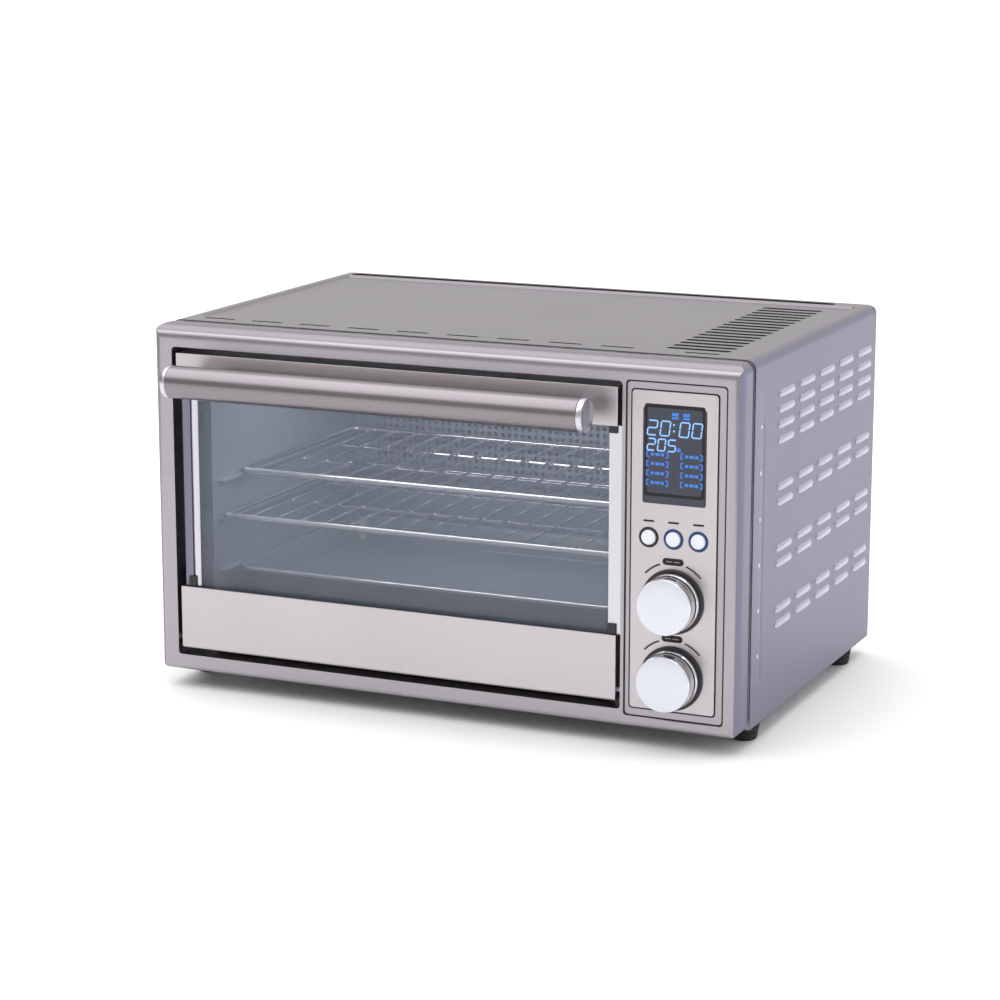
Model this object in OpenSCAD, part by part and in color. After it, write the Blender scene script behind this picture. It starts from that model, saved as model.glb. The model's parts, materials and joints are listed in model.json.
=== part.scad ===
// Countertop convection toaster oven: stainless wrapper, formed front frame, drop-down glass door,
// control column with a display, three push buttons and two rotary knobs, two wire racks,
// a baking tray, a crumb tray, four tubular heaters and a rear convection fan.
// X runs to the right, Y to the rear, Z up. The origin is on the table, under the middle of the oven.

/* [Body] */
// Width of the casing
body_w = 500; // [496:1:504]
// Height of the casing, without its feet
body_h = 285; // [284:1:288]
// Depth of the sheet-metal wrapper
wrapper_d = 305; // [303:1:315]
// How far the front frame stands ahead of the wrapper
frame_d = 29; // [28:1:30]
// Thickness of the casing sheets
sheet = 0.8; // [0.7:0.1:0.9]

/* [Feet] */
// Height of the feet
foot_h = 15; // [13:1:16]
// Radius of a foot at the top
foot_r = 12; // [10:0.5:13]

/* [Door] */
// Width of the door
door_w = 380.5; // [379:0.5:381]
// Height of the door
door_h = 244; // [243:0.5:245]
// Depth of the door from its face to its rear edge
door_d = 24; // [22:1:25]
// Height of the lower door panel
panel_h = 52; // [50:1:54]
// Height of the upper door rail
rail_h = 30; // [29:1:32]
// Thickness of the door glass
glass_t = 4; // [3:0.5:4.5]

/* [Handle] */
// Radius of the handle bar
bar_r = 13; // [12:0.5:13.5]
// How far the axis of the bar stands ahead of the door
bar_reach = 32; // [30:1:33]
// Length of the handle with its caps
bar_l = 359; // [350:1:360]

/* [Controls] */
// Radius of a knob at its face
knob_r = 21.5; // [20:0.5:22]
// How far a knob stands ahead of the control plate
knob_l = 21; // [20:1:24]
// Radius of a button cap
cap_r = 5.75; // [5:0.25:5.75]
// Travel of a button
cap_travel = 1.5; // [1:0.1:1.6]

/* [Racks] */
// Radius of the rods around a rack
rod_r = 2.2; // [2:0.1:2.4]
// Radius of the rack wires
wire_r = 1.2; // [1:0.1:1.4]
// Number of wires in a rack
wires = 15; // [9:2:21]

/* [Hidden] */
$fn = 48;

// Casing
half_w = body_w / 2;
base_z = foot_h;
top_z = foot_h + body_h;
rear_reach = 6;
depth = bar_r + bar_reach + frame_d + wrapper_d + rear_reach;
face_y = bar_r + bar_reach - depth / 2;
shell_y = face_y + frame_d;
rear_y = shell_y + wrapper_d;
panel_t = 1;
back_y = rear_y - panel_t;
plate_y = shell_y + panel_t;
corner_r = 6;
frame_step = 8;
frame_wall = 2;

// Door, set in its opening with a gap round it
door_x = -229.6;
door_z = foot_h + 18.7;
door_gap = 3.6;
open_x = [door_x - door_gap, door_x + door_w + door_gap];
open_z = [foot_h + 13.4, door_z + door_h + 4.7];
open_wall = 1.5;
trim_w = 7;
skirt_w = 2.6;
trim_y = face_y + 4;
hem = 1.4;
hinge_y = face_y + 7;
hinge_z = door_z + 8;
pin_r = 2.5;
run_gap = 0.05;
glass_y = trim_y + 2;
bar_y = face_y - bar_reach;
bar_z = door_z + door_h - 17.2;
bar_x = -219;
cap_l = 5;
post_x = [bar_x + 19, bar_x + bar_l - 19];

// Cavity
cav_x = [-215, 145];
cav_z = [35, 268];
cav_y = [plate_y, plate_y + 254];
mouth_z = [45, 266];
ledge_w = 6;
ledge_t = 2;
rest_gap = 0.3;
rack_z = [170, 138];
rack_front = [shell_y + 42, shell_y + 10];
rack_rear = cav_y[1] - 11;
tray_rim_z = 94;
tray_h = 22;
tray_wall = 1;
heater_r = 3.5;
heater_y = [-60, 70];
heater_z = [52, 256];
bush_r = 6;
perf = 6;
perf_pitch = 16;

// Crumb tray and the slot that it slides through
crumb_x = [cav_x[0] + 7.4, cav_x[1] - 7.4];
crumb_z = open_z[0] + 0.6;
crumb_h = 4.4;
rail_gap = 0.3;

// Controls
ctl_x = [162.4, 230.6];
ctl_z = [foot_h + 16.3, foot_h + 261.8];
ctl_groove = 1;
ledge_drop = 1;
ctl_y = face_y + 0.5;
ctl_t = 1.5;
flange_y = ctl_y + ctl_t;
ctl_mid = (ctl_x[0] + ctl_x[1]) / 2;
knob_z = [foot_h + 102, foot_h + 42.4];
knob_base_r = 22.5;
ring_r = 25;
shaft_r = 3;
button_x = [ctl_mid - 19.8, ctl_mid, ctl_mid + 19.8];
button_z = foot_h + 150.2;
button_ring_r = 7.75;
window_w = 50.3;
window_z = [foot_h + 176.5, foot_h + 249.8];
board_y = face_y + 11.5;

// Fan
fan_x = (cav_x[0] + cav_x[1]) / 2;
fan_z = 175;
housing_d = 20;
housing_y = cav_y[1] + sheet;
motor_y = housing_y + housing_d;
blades = 6;

screw_r = 1.6;
head_r = 3.6;
head_h = 2;

// A box between two opposite corners
module span(p, q) {
    translate(p) cube(q - p);
}

// An outline drawn in X and Z, extruded along Y
module along_y(y0, y1) {
    translate([0, y1, 0]) rotate([90, 0, 0]) linear_extrude(y1 - y0) children();
}

// An outline drawn in Y and Z, extruded along X
module along_x(x0, x1) {
    translate([x0, 0, 0]) rotate([90, 0, 90]) linear_extrude(x1 - x0) children();
}

// A flat rectangle between two corners, with round corners
module rounded(p, q, r) {
    translate([p[0] + r, p[1]]) square([q[0] - p[0] - 2 * r, q[1] - p[1]]);
    translate([p[0], p[1] + r]) square([q[0] - p[0], q[1] - p[1] - 2 * r]);
    for (x = [p[0] + r, q[0] - r], z = [p[1] + r, q[1] - r]) translate([x, z]) circle(r);
}

// A round bar along Y
module rod_y(x, z, r, y0, y1) {
    translate([x, y1, z]) rotate([90, 0, 0]) cylinder(r = r, h = y1 - y0);
}

// A round bar along X
module rod_x(y, z, r, x0, x1) {
    translate([x0, y, z]) rotate([0, 90, 0]) cylinder(r = r, h = x1 - x0);
}

// A ring along Y
module ring_y(x, z, r_out, r_in, y0, y1) {
    difference() {
        rod_y(x, z, r_out, y0, y1);
        rod_y(x, z, r_in, y0 - 1, y1 + 1);
    }
}

// ---- casing ----

vent_count = 17;
vent_pitch = 13.9;
vent_slot = [52, 7];
dash_count = 9;
dash_pitch = 43.3;
dash_slot = [28, 4];
rear_slot = [453, 10];
louvre_rows = [0, 1, 2, 3, 6, 7, 10, 11, 14, 15];
louvre_pitch = 12.1;
louvre_cols = 5;
louvre_col_pitch = 50;
louvre_slot = [30, 2.2];
louvre_top_z = top_z - 35.5;
louvre_y = shell_y + 58;

// Rows of louvre slots through one side of the wrapper
module louvre_cuts(x) {
    for (row = louvre_rows, col = [0 : louvre_cols - 1])
        translate([x - 2, louvre_y + col * louvre_col_pitch, louvre_top_z - row * louvre_pitch])
            cube([4, louvre_slot[0], louvre_slot[1]]);
}

// A slot through the top of the wrapper, centred on x and y
module top_cut(x, y, size) {
    translate([x - size[0] / 2, y - size[1] / 2, top_z - 2]) cube([size[0], size[1], 4]);
}

module wrapper_shell() {
    color("lightsteelblue") difference() {
        along_y(shell_y, back_y) difference() {
            rounded([-half_w, 0], [half_w, top_z], corner_r);
            rounded([sheet - half_w, -1], [half_w - sheet, top_z - sheet], corner_r - sheet);
            translate([-half_w - 1, -1]) square([body_w + 2, base_z + 1]);
        }
        for (i = [0 : vent_count - 1])
            top_cut(half_w - 60, shell_y + 38.5 + i * vent_pitch, vent_slot);
        for (i = [0 : dash_count - 1]) top_cut(i * dash_pitch - half_w + 36, shell_y + 16, dash_slot);
        top_cut(half_w - 48.5, shell_y + 14, dash_slot);
        top_cut(-9.5, rear_y - 11, rear_slot);
        louvre_cuts(half_w);
        louvre_cuts(-half_w);
    }
}

// The front frame's outer form, set in by a given amount, with its front edges rounded
module frame_form(inset, y0, y1) {
    x = half_w - inset;
    z0 = base_z + inset;
    z1 = top_z - inset;
    top_r = 12 - inset;
    side_r = 7 - inset;
    low_r = 5 - inset;
    intersection() {
        along_y(y0, y1) rounded([-x, z0], [x, z1], 8 - inset);
        along_x(-x, x) difference() {
            translate([y0, z0]) square([y1 - y0, z1 - z0]);
            translate([y0, z1 - top_r]) difference() {
                square(top_r);
                translate([top_r, 0]) circle(top_r);
            }
            translate([y0, z0]) difference() {
                square(low_r);
                translate([low_r, low_r]) circle(low_r);
            }
        }
        translate([0, 0, z0]) linear_extrude(z1 - z0) difference() {
            translate([-x, y0]) square([2 * x, y1 - y0]);
            for (s = [-1, 1]) translate([s * x, y0]) difference() {
                translate([s > 0 ? -side_r : 0, 0]) square(side_r);
                translate([-s * side_r, side_r]) circle(side_r);
            }
        }
    }
}

module front_frame() {
    step_y = shell_y - frame_step;
    color("silver") difference() {
        union() {
            difference() {
                frame_form(0, face_y, step_y);
                frame_form(frame_wall, face_y + frame_wall, step_y + 1);
            }
            along_y(step_y - 2, shell_y) difference() {
                rounded([2 - half_w, base_z + 2], [half_w - 2, top_z - 2], corner_r);
                rounded([4 - half_w, base_z + 4], [half_w - 4, top_z - 4], corner_r - 2);
            }
            along_y(face_y + frame_wall, shell_y)
                rounded([open_x[0] - open_wall, open_z[0] - open_wall],
                    [open_x[1] + open_wall, open_z[1] + open_wall], open_wall + 2);
        }
        along_y(face_y - 1, shell_y + 1)
            rounded([open_x[0], open_z[0]], [open_x[1], open_z[1]], 3);
        along_y(face_y - 1, face_y + 3 * frame_wall)
            rounded([ctl_x[0] - ctl_groove, ctl_z[0] - ctl_groove],
                [ctl_x[1] + ctl_groove, ctl_z[1] + ctl_groove], 3);
        along_y(face_y - 1, face_y + ledge_drop)
            rounded([ctl_x[0] - 5, ctl_z[0] - 7.3], [ctl_x[1] + 7.4, ctl_z[1] + 7.2], 3);
        rod_x(hinge_y, hinge_z, pin_r + 1, open_x[0] - 4, open_x[1] + 4);
    }
}

module front_plate() {
    color("gray") difference() {
        span([sheet - half_w, shell_y, base_z + 1], [half_w - sheet, plate_y, top_z - sheet]);
        along_y(shell_y - 1, plate_y + 1) {
            rounded([cav_x[0], mouth_z[0]], [cav_x[1], mouth_z[1]], 8);
            translate([crumb_x[0] - 1, crumb_z - 0.4])
                square([crumb_x[1] - crumb_x[0] + 2, crumb_h + 1]);
            translate([ctl_x[0] + 4, ctl_z[0] + 4])
                square([ctl_x[1] - ctl_x[0] - 8, ctl_z[1] - ctl_z[0] - 8]);
            for (s = [-1, 1]) translate([s * half_w, top_z]) rotate(45) square(9, center = true);
        }
    }
}

gland_x = 200;
gland_z = foot_h + 45;
gland_r = 9;
cord_r = 4;
back_vents = [10, 6];
back_vent_slot = [26, 3];
back_screw_x = [8 - half_w, -80, 80, half_w - 8];
back_screw_z = [base_z + 10, top_z - 10];

module back_panel() {
    color("lightgray") difference() {
        along_y(back_y, rear_y) rounded([0.5 - half_w, base_z], [half_w - 0.5, top_z - 0.5], corner_r);
        for (i = [0 : back_vents[0] - 1], j = [0 : back_vents[1] - 1])
            translate([fan_x - 190 + i * 38, back_y - 1, fan_z + 20 + j * 14])
                cube([back_vent_slot[0], 3, back_vent_slot[1]]);
        rod_y(gland_x, gland_z, gland_r, back_y - 1, rear_y + 1);
        for (x = back_screw_x, z = back_screw_z) rod_y(x, z, screw_r, back_y - 1, rear_y + 1);
    }
}

module back_screws() {
    color("dimgray") for (x = back_screw_x, z = back_screw_z) {
        rod_y(x, z, head_r, rear_y, rear_y + head_h);
        rod_y(x, z, screw_r, rear_y - 5, rear_y);
    }
}

module cord_gland() {
    color("black") difference() {
        union() {
            rod_y(gland_x, gland_z, gland_r + 3, rear_y, rear_y + rear_reach);
            rod_y(gland_x, gland_z, gland_r, back_y - 5, rear_y);
        }
        rod_y(gland_x, gland_z, cord_r, back_y - 6, rear_y + rear_reach + 1);
    }
}

foot_x = 236;
foot_y = [shell_y + 27, shell_y + 262];
base_screw_x = [-200, 0, 200];
base_screw_y = [shell_y + 60, shell_y + 200];

module base_plate() {
    color("gray") difference() {
        span([sheet - half_w, shell_y, base_z], [half_w - sheet, back_y, base_z + 1]);
        for (x = base_screw_x, y = base_screw_y)
            translate([x, y, base_z - 1]) cylinder(r = screw_r, h = 3);
    }
}

module base_screws() {
    color("dimgray") for (x = base_screw_x, y = base_screw_y) {
        translate([x, y, base_z - head_h]) cylinder(r = head_r, h = head_h);
        translate([x, y, base_z]) cylinder(r = screw_r, h = 5);
    }
}

module foot(x, y) {
    color("black") translate([x, y, 0]) rotate_extrude()
        polygon([[0, 0], [foot_r - 2.5, 0], [foot_r - 1.5, 1.5], [foot_r, foot_h], [0, foot_h]]);
}

// ---- cavity ----

// Left wall of the cavity; the right wall is its mirror image
module cavity_side() {
    difference() {
        union() {
            span([cav_x[0] - sheet, cav_y[0], cav_z[0]], [cav_x[0], cav_y[1], cav_z[1]]);
            for (z = [rack_z[0] - rod_r, rack_z[1] - rod_r, tray_rim_z - tray_wall])
                span([cav_x[0], cav_y[0] + 8, z - rest_gap - ledge_t],
                    [cav_x[0] + ledge_w, cav_y[1] - 8, z - rest_gap]);
        }
        for (y = heater_y, z = heater_z) rod_x(y, z, bush_r, cav_x[0] - 2, cav_x[0] + 1);
    }
}

module cavity_left_wall() {
    color("slategray") cavity_side();
}

probe_y = 100;
probe_z = 235;
probe_r = 2;

module cavity_right_wall() {
    color("slategray") difference() {
        translate([cav_x[0] + cav_x[1], 0, 0]) mirror([1, 0, 0]) cavity_side();
        rod_x(probe_y, probe_z, probe_r, cav_x[1] - 1, cav_x[1] + 2);
    }
}

module cavity_roof() {
    color("slategray")
        span([cav_x[0] - sheet, cav_y[0], cav_z[1]], [cav_x[1] + sheet, cav_y[1], cav_z[1] + sheet]);
}

perf_cols = 20;
perf_rows = 8;

module cavity_back() {
    color("slategray") difference() {
        span([cav_x[0] - sheet, cav_y[1], cav_z[0]], [cav_x[1] + sheet, housing_y, cav_z[1] + sheet]);
        for (i = [0 : perf_cols - 1], j = [0 : perf_rows - 1])
            translate([fan_x + (i - perf_cols / 2) * perf_pitch + (perf_pitch - perf) / 2, cav_y[1] - 1,
                       cav_z[1] - 26 - j * perf_pitch]) cube([perf, 3, perf]);
    }
}

module crumb_rails() {
    rail_z = crumb_z - rail_gap;
    color("gray") for (s = [0, 1]) {
        web = s == 0 ? crumb_x[0] - 1.4 : crumb_x[1] + 0.6;
        lip = s == 0 ? web : web - 9.2;
        span([web, cav_y[0], base_z + 1], [web + sheet, cav_y[1], crumb_z + crumb_h]);
        span([lip, cav_y[0], rail_z - sheet], [lip + 10, cav_y[1], rail_z]);
    }
}

// The two heaters at one height
module heater_pair(z) {
    color("dimgray") for (y = heater_y) rod_x(y, z, heater_r, cav_x[0] - 8, cav_x[1] + 8);
}

module heater_bushes() {
    color("ivory") for (x = [cav_x[0] - 5, cav_x[1] - 3], y = heater_y, z = heater_z) difference() {
        rod_x(y, z, bush_r, x, x + 8);
        rod_x(y, z, heater_r, x - 1, x + 9);
    }
}

module temperature_probe() {
    color("silver") {
        rod_x(probe_y, probe_z, probe_r, cav_x[1] - 35, cav_x[1] + sheet);
        rod_x(probe_y, probe_z, 3 * probe_r, cav_x[1] + sheet, cav_x[1] + 5);
    }
}

module thermal_cutout() {
    color("black") translate([fan_x, 40, cav_z[1] + sheet]) {
        cylinder(r = 9, h = 6);
        translate([-14, -3, 0]) cube([28, 6, 1]);
    }
}

module heat_shield() {
    x = cav_x[1] + 11;
    color("gray") span([x, plate_y, base_z + 1], [x + sheet, back_y, top_z - 4]);
}

// ---- fan ----

housing_r = 72;

module fan_housing() {
    color("gray") difference() {
        rod_y(fan_x, fan_z, housing_r, housing_y, motor_y);
        rod_y(fan_x, fan_z, housing_r - sheet, housing_y - 1, motor_y - sheet);
        rod_y(fan_x, fan_z, 8, motor_y - 2, motor_y + 1);
    }
}

module fan_motor() {
    color("silver") difference() {
        rod_y(fan_x, fan_z, 29, motor_y, motor_y + 22);
        rod_y(fan_x, fan_z, shaft_r + run_gap, motor_y - 1, motor_y + 17);
    }
}

module fan_shaft() {
    color("lightgray") rod_y(fan_x, fan_z, shaft_r, housing_y + 3, motor_y + 16);
}

module fan_blade() {
    y0 = housing_y + 4;
    color("silver") {
        ring_y(fan_x, fan_z, 9, shaft_r, y0, y0 + 11);
        for (i = [0 : blades - 1])
            translate([fan_x, 0, fan_z]) rotate([0, i * 360 / blades, 0])
                translate([7, y0 + 2, -11]) rotate([-22, 0, 0]) cube([50, 1.2, 22]);
    }
}

// ---- controls ----

module control_plate() {
    color("gainsboro") difference() {
        union() {
            along_y(ctl_y, flange_y) rounded([ctl_x[0], ctl_z[0]], [ctl_x[1], ctl_z[1]], 2.5);
            span([ctl_x[0] - 4, flange_y, ctl_z[0] - 4], [ctl_x[1] + 4, flange_y + 1, ctl_z[1] + 4]);
        }
        along_y(ctl_y - 1, flange_y + 2)
            rounded([ctl_mid - window_w / 2, window_z[0]], [ctl_mid + window_w / 2, window_z[1]], 2);
        for (x = button_x) rod_y(x, button_z, button_ring_r, ctl_y - 1, flange_y + 2);
        for (z = knob_z) rod_y(ctl_mid, z, 5, ctl_y - 1, flange_y + 2);
    }
}

module display_window() {
    back = flange_y + 1;
    color("midnightblue") {
        along_y(ctl_y, back)
            rounded([ctl_mid - window_w / 2, window_z[0]], [ctl_mid + window_w / 2, window_z[1]], 2);
        span([ctl_mid - window_w / 2 - 2, back, window_z[0] - 2],
            [ctl_mid + window_w / 2 + 2, back + 1, window_z[1] + 2]);
    }
}

module display_module() {
    color("darkslategray")
        span([ctl_mid - 24, flange_y + 2, window_z[0]], [ctl_mid + 24, board_y, window_z[1]]);
}

module control_board() {
    color("green")
        span([ctl_x[0] + 6, board_y, ctl_z[0] + 6], [ctl_x[1] - 6, board_y + 1.6, ctl_z[1] - 2]);
}

module power_board() {
    x = cav_x[1] + 11 + sheet;
    color("green") span([x, -60, 60], [x + 1.6, 60, 190]);
    color("navy") span([x + 1.6, -40, 90], [x + 21, 0, 120]);
    color("black") translate([x + 1.6, 30, 150]) rotate([0, 90, 0]) cylinder(r = 12, h = 30);
    color("gray") span([x + 1.6, -45, 140], [x + 17, -5, 175]);
}

module button_rings() {
    color("darkslateblue")
        for (x = button_x) ring_y(x, button_z, button_ring_r, cap_r + 0.3, ctl_y - 0.6, flange_y + 1);
}

// A push button: the cap in its ring, a wider skirt behind it and the stem over its switch
module button(x) {
    color("white") {
        rod_y(x, button_z, cap_r, ctl_y - 2.2, flange_y + 1.3);
        rod_y(x, button_z, cap_r + 1.2, flange_y + 1.3, flange_y + 2.3);
        rod_y(x, button_z, 2, flange_y + 2.3, board_y - cap_travel - 0.4);
    }
}

module knob_rings() {
    color("black") for (z = knob_z) ring_y(ctl_mid, z, ring_r, 8, ctl_y - 2, ctl_y);
}

knob_back = ctl_y - 2.6;
knob_face = ctl_y - knob_l;
shaft_end = knob_face + 5;

// A hollow knob with a hub on its shaft
module knob(z) {
    color("whitesmoke") translate([ctl_mid, knob_back, z]) rotate([90, 0, 0])
        rotate_extrude() difference() {
        polygon([[0, 0], [knob_base_r, 0], [knob_base_r, 3], [knob_r + 0.5, 4.5],
                 [knob_r + 0.2, knob_back - knob_face - 1], [knob_r - 0.8, knob_back - knob_face],
                 [0, knob_back - knob_face]]);
        translate([6, -1]) square([knob_r - 8, knob_back - knob_face - 2]);
        translate([-1, -1]) square([shaft_r + 1, knob_back - shaft_end + 1]);
    }
}

module knob_shaft(z) {
    color("silver") rod_y(ctl_mid, z, shaft_r, shaft_end, board_y - 1);
}

module encoder(z) {
    color("dimgray") difference() {
        union() {
            span([ctl_mid - 7, flange_y + 1, z - 7], [ctl_mid + 7, board_y, z + 7]);
            rod_y(ctl_mid, z, 5, ctl_y - 1, flange_y + 1);
        }
        rod_y(ctl_mid, z, shaft_r + run_gap, ctl_y - 2, board_y - 0.5);
    }
}

// ---- door ----

door_top = door_z + door_h;
door_right = door_x + door_w;
door_rear = face_y + door_d;
edge_r = 3;

// Side plates that close the ends of a door rail
module end_plates(z0, z1) {
    for (x = [door_x, door_right - panel_t])
        span([x, face_y + panel_t, z0], [x + panel_t, door_rear, z1]);
}

module door_lower_panel() {
    color("gainsboro") intersection() {
        difference() {
            union() {
                span([door_x, face_y, door_z], [door_right, face_y + panel_t, door_z + panel_h]);
                span([door_x, face_y, door_z], [door_right, door_rear, door_z + panel_t]);
                span([door_x, face_y, door_z + panel_h - panel_t],
                    [door_right, face_y + panel_t + hem, door_z + panel_h]);
                end_plates(door_z, door_z + panel_h);
                along_x(door_x, door_right) translate([face_y, door_z]) square(edge_r);
            }
            rod_x(hinge_y, hinge_z, pin_r, door_x - 1, door_right + 1);
        }
        along_x(door_x, door_right) union() {
            translate([face_y + edge_r, door_z]) square([door_d, panel_h]);
            translate([face_y, door_z + edge_r]) square([door_d, panel_h]);
            translate([face_y + edge_r, door_z + edge_r]) circle(edge_r);
        }
    }
}

module door_top_rail() {
    z0 = door_top - rail_h;
    color("gainsboro") difference() {
        union() {
            span([door_x, face_y, z0], [door_right, face_y + panel_t, door_top]);
            span([door_x, face_y, door_top - panel_t], [door_right, door_rear, door_top]);
            span([door_x, face_y, z0], [door_right, face_y + panel_t + hem, z0 + panel_t]);
            end_plates(z0, door_top);
        }
        for (x = post_x) rod_y(x, bar_z, screw_r, face_y - 1, face_y + 2);
    }
}

// Upright channel beside the glass: front flange, outer web, rear flange and inner wall.
// side is -1 on the left and 1 on the right, where a skirt also half fills the gap to the frame.
// Both webs stand inside the end plates of the rails.
module door_trim(side) {
    z0 = door_z + 15;
    z1 = door_top - panel_t;
    outer = side < 0 ? door_x + 2.5 : door_right - 1.1;
    module strip(a, b, y0, y1) {
        span([min(outer - side * a, outer - side * b), y0, z0],
            [max(outer - side * a, outer - side * b), y1, z1]);
    }
    color("white") {
        strip(0, trim_w, trim_y, glass_y);
        strip(0, panel_t, glass_y, door_rear);
        strip(0, 5, door_rear - panel_t, door_rear);
        strip(4, 5, glass_y + glass_t, door_rear);
        if (side > 0)
            span([outer, trim_y, door_z + panel_h],
                [door_right + skirt_w, glass_y, door_top - rail_h]);
    }
}

module door_glass() {
    color("lightblue")
        span([door_x + 3.6, glass_y, door_z + 33], [door_right - 2.2, glass_y + glass_t, door_top - 24]);
}

clip_size = [7, 1.6, 12];

// Small clips that hold the glass at its four corners, standing on the trims
module glass_clips() {
    color("dimgray")
        for (x = [door_x + 6, door_right - 8], z = [door_z + panel_h - 3.5, door_top - rail_h - 6])
            translate([x, trim_y - clip_size[1], z]) cube(clip_size);
}

module handle_bar() {
    color("silver") difference() {
        rod_x(bar_y, bar_z, bar_r, bar_x + cap_l, bar_x + bar_l - cap_l);
        rod_x(bar_y, bar_z, bar_r - 1.2, bar_x, bar_x + bar_l);
    }
}

module handle_caps() {
    color("whitesmoke") for (end = [bar_x, bar_x + bar_l - cap_l])
        rod_x(bar_y, bar_z, bar_r, end, end + cap_l);
}

module handle_posts() {
    color("silver") for (x = post_x) difference() {
        rod_y(x, bar_z, 6, bar_y, face_y);
        rod_x(bar_y, bar_z, bar_r, x - 10, x + 10);
        rod_y(x, bar_z, screw_r, face_y - 12, face_y + 1);
    }
}

module handle_screws() {
    color("dimgray") for (x = post_x) {
        rod_y(x, bar_z, screw_r, face_y - 11, face_y + panel_t);
        rod_y(x, bar_z, head_r, face_y + panel_t, face_y + panel_t + head_h);
    }
}

module hinge_pins() {
    color("dimgray") for (s = [-1, 1]) {
        inner = s < 0 ? door_x + panel_t : door_right - panel_t;
        tip = inner + s * 12;
        rod_x(hinge_y, hinge_z, pin_r, min(inner, tip), max(inner, tip));
        rod_x(hinge_y, hinge_z, pin_r + 1.5, min(inner, inner - 2 * s), max(inner, inner - 2 * s));
    }
}

// The block that holds one hinge pin, between the door opening and the chassis front
module hinge_bracket(x0, w, y0) {
    color("gray") difference() {
        span([x0, y0, hinge_z - 7], [x0 + w, shell_y, hinge_z + 7]);
        rod_x(hinge_y, hinge_z, pin_r + run_gap, x0 - 1, x0 + w + 1);
    }
}

// ---- racks and trays ----

// A ring of rod lying flat, with round corners
module rod_loop(p, q, z, r, bend) {
    for (y = [p[1], q[1]]) rod_x(y, z, r, p[0] + bend, q[0] - bend);
    for (x = [p[0], q[0]]) rod_y(x, z, r, p[1] + bend, q[1] - bend);
    for (c = [[p[0] + bend, p[1] + bend, 180], [q[0] - bend, p[1] + bend, 270],
              [q[0] - bend, q[1] - bend, 0], [p[0] + bend, q[1] - bend, 90]])
        translate([c[0], c[1], z]) rotate([0, 0, c[2]]) rotate_extrude(angle = 90)
            translate([bend, 0]) circle(r);
}

// A wire rack: an outer loop, two cross rods underneath and wires from front to back
module wire_rack(z, front) {
    p = [cav_x[0] + rod_r + 1.2, front + rod_r];
    q = [cav_x[1] - rod_r - 1.2, rack_rear];
    pitch = (q[0] - p[0]) / (wires + 1);
    color("gainsboro") {
        rod_loop(p, q, z, rod_r, 8);
        for (i = [1 : wires]) rod_y(p[0] + i * pitch, z, wire_r, p[1], q[1]);
        for (f = [1, 2])
            rod_x(p[1] + f * (q[1] - p[1]) / 3, z - 1.6 * wire_r, wire_r, p[0] + pitch, q[0] - pitch);
    }
}

tray_x = [cav_x[0] + 2.5, cav_x[1] - 2.5];
tray_y = [shell_y + 20, rack_rear];
tray_rim = 8;

module baking_tray() {
    z0 = tray_rim_z - tray_h;
    p = [tray_x[0] + tray_rim, tray_y[0] + tray_rim];
    q = [tray_x[1] - tray_rim, tray_y[1] - tray_rim];
    color("dimgray") difference() {
        union() {
            translate([0, 0, tray_rim_z - tray_wall]) linear_extrude(tray_wall)
                rounded([tray_x[0], tray_y[0]], [tray_x[1], tray_y[1]], 24);
            translate([0, 0, z0]) linear_extrude(tray_h) rounded(p, q, 18);
        }
        translate([0, 0, z0 + tray_wall]) linear_extrude(tray_h)
            rounded([p[0] + tray_wall, p[1] + tray_wall], [q[0] - tray_wall, q[1] - tray_wall], 17);
    }
}

module crumb_tray() {
    front = face_y + 16;
    color("gray") difference() {
        span([crumb_x[0], front, crumb_z], [crumb_x[1], cav_y[1] - 8, crumb_z + crumb_h]);
        span([crumb_x[0] + 0.8, front + 1.5, crumb_z + 0.8], [crumb_x[1] - 0.8, cav_y[1] - 9, crumb_z + 9]);
    }
}

wrapper_shell();
front_frame();
front_plate();
back_panel();
base_plate();
foot(-foot_x, foot_y[0]);  // foot_front_left
foot(foot_x, foot_y[0]);  // foot_front_right
foot(-foot_x, foot_y[1]);  // foot_rear_left
foot(foot_x, foot_y[1]);  // foot_rear_right
cord_gland();
cavity_left_wall();
cavity_right_wall();
cavity_roof();
cavity_back();
crumb_rails();
heater_pair(heater_z[1]);  // upper_heaters
heater_pair(heater_z[0]);  // lower_heaters
heater_bushes();
fan_housing();
fan_motor();
temperature_probe();
thermal_cutout();
heat_shield();
control_plate();
display_window();
display_module();
control_board();
power_board();
button_rings();
knob_rings();
encoder(knob_z[0]);  // encoder_upper
encoder(knob_z[1]);  // encoder_lower
base_screws();
back_screws();
hinge_bracket(open_x[0] - open_wall - 10, 10, face_y + 2);  // hinge_bracket_left
hinge_bracket(open_x[1] + open_wall, 9, flange_y + 1);  // hinge_bracket_right
door_top_rail();
door_lower_panel();
door_trim(-1);  // door_left_trim
door_trim(1);  // door_right_trim
door_glass();
glass_clips();
handle_bar();
handle_caps();
handle_posts();
handle_screws();
hinge_pins();
wire_rack(rack_z[0], rack_front[0]);  // upper_rack
wire_rack(rack_z[1], rack_front[1]);  // lower_rack
baking_tray();
crumb_tray();
knob(knob_z[0]);  // knob_upper
knob(knob_z[1]);  // knob_lower
knob_shaft(knob_z[0]);  // shaft_upper
knob_shaft(knob_z[1]);  // shaft_lower
button(button_x[0]);  // button_left
button(button_x[1]);  // button_middle
button(button_x[2]);  // button_right
fan_blade();
fan_shaft();
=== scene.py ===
"""A countertop convection toaster oven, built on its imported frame.

Every piece is drawn in metres in the frame's own axes: X to the right, Y to the rear, Z up.
"""

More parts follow.
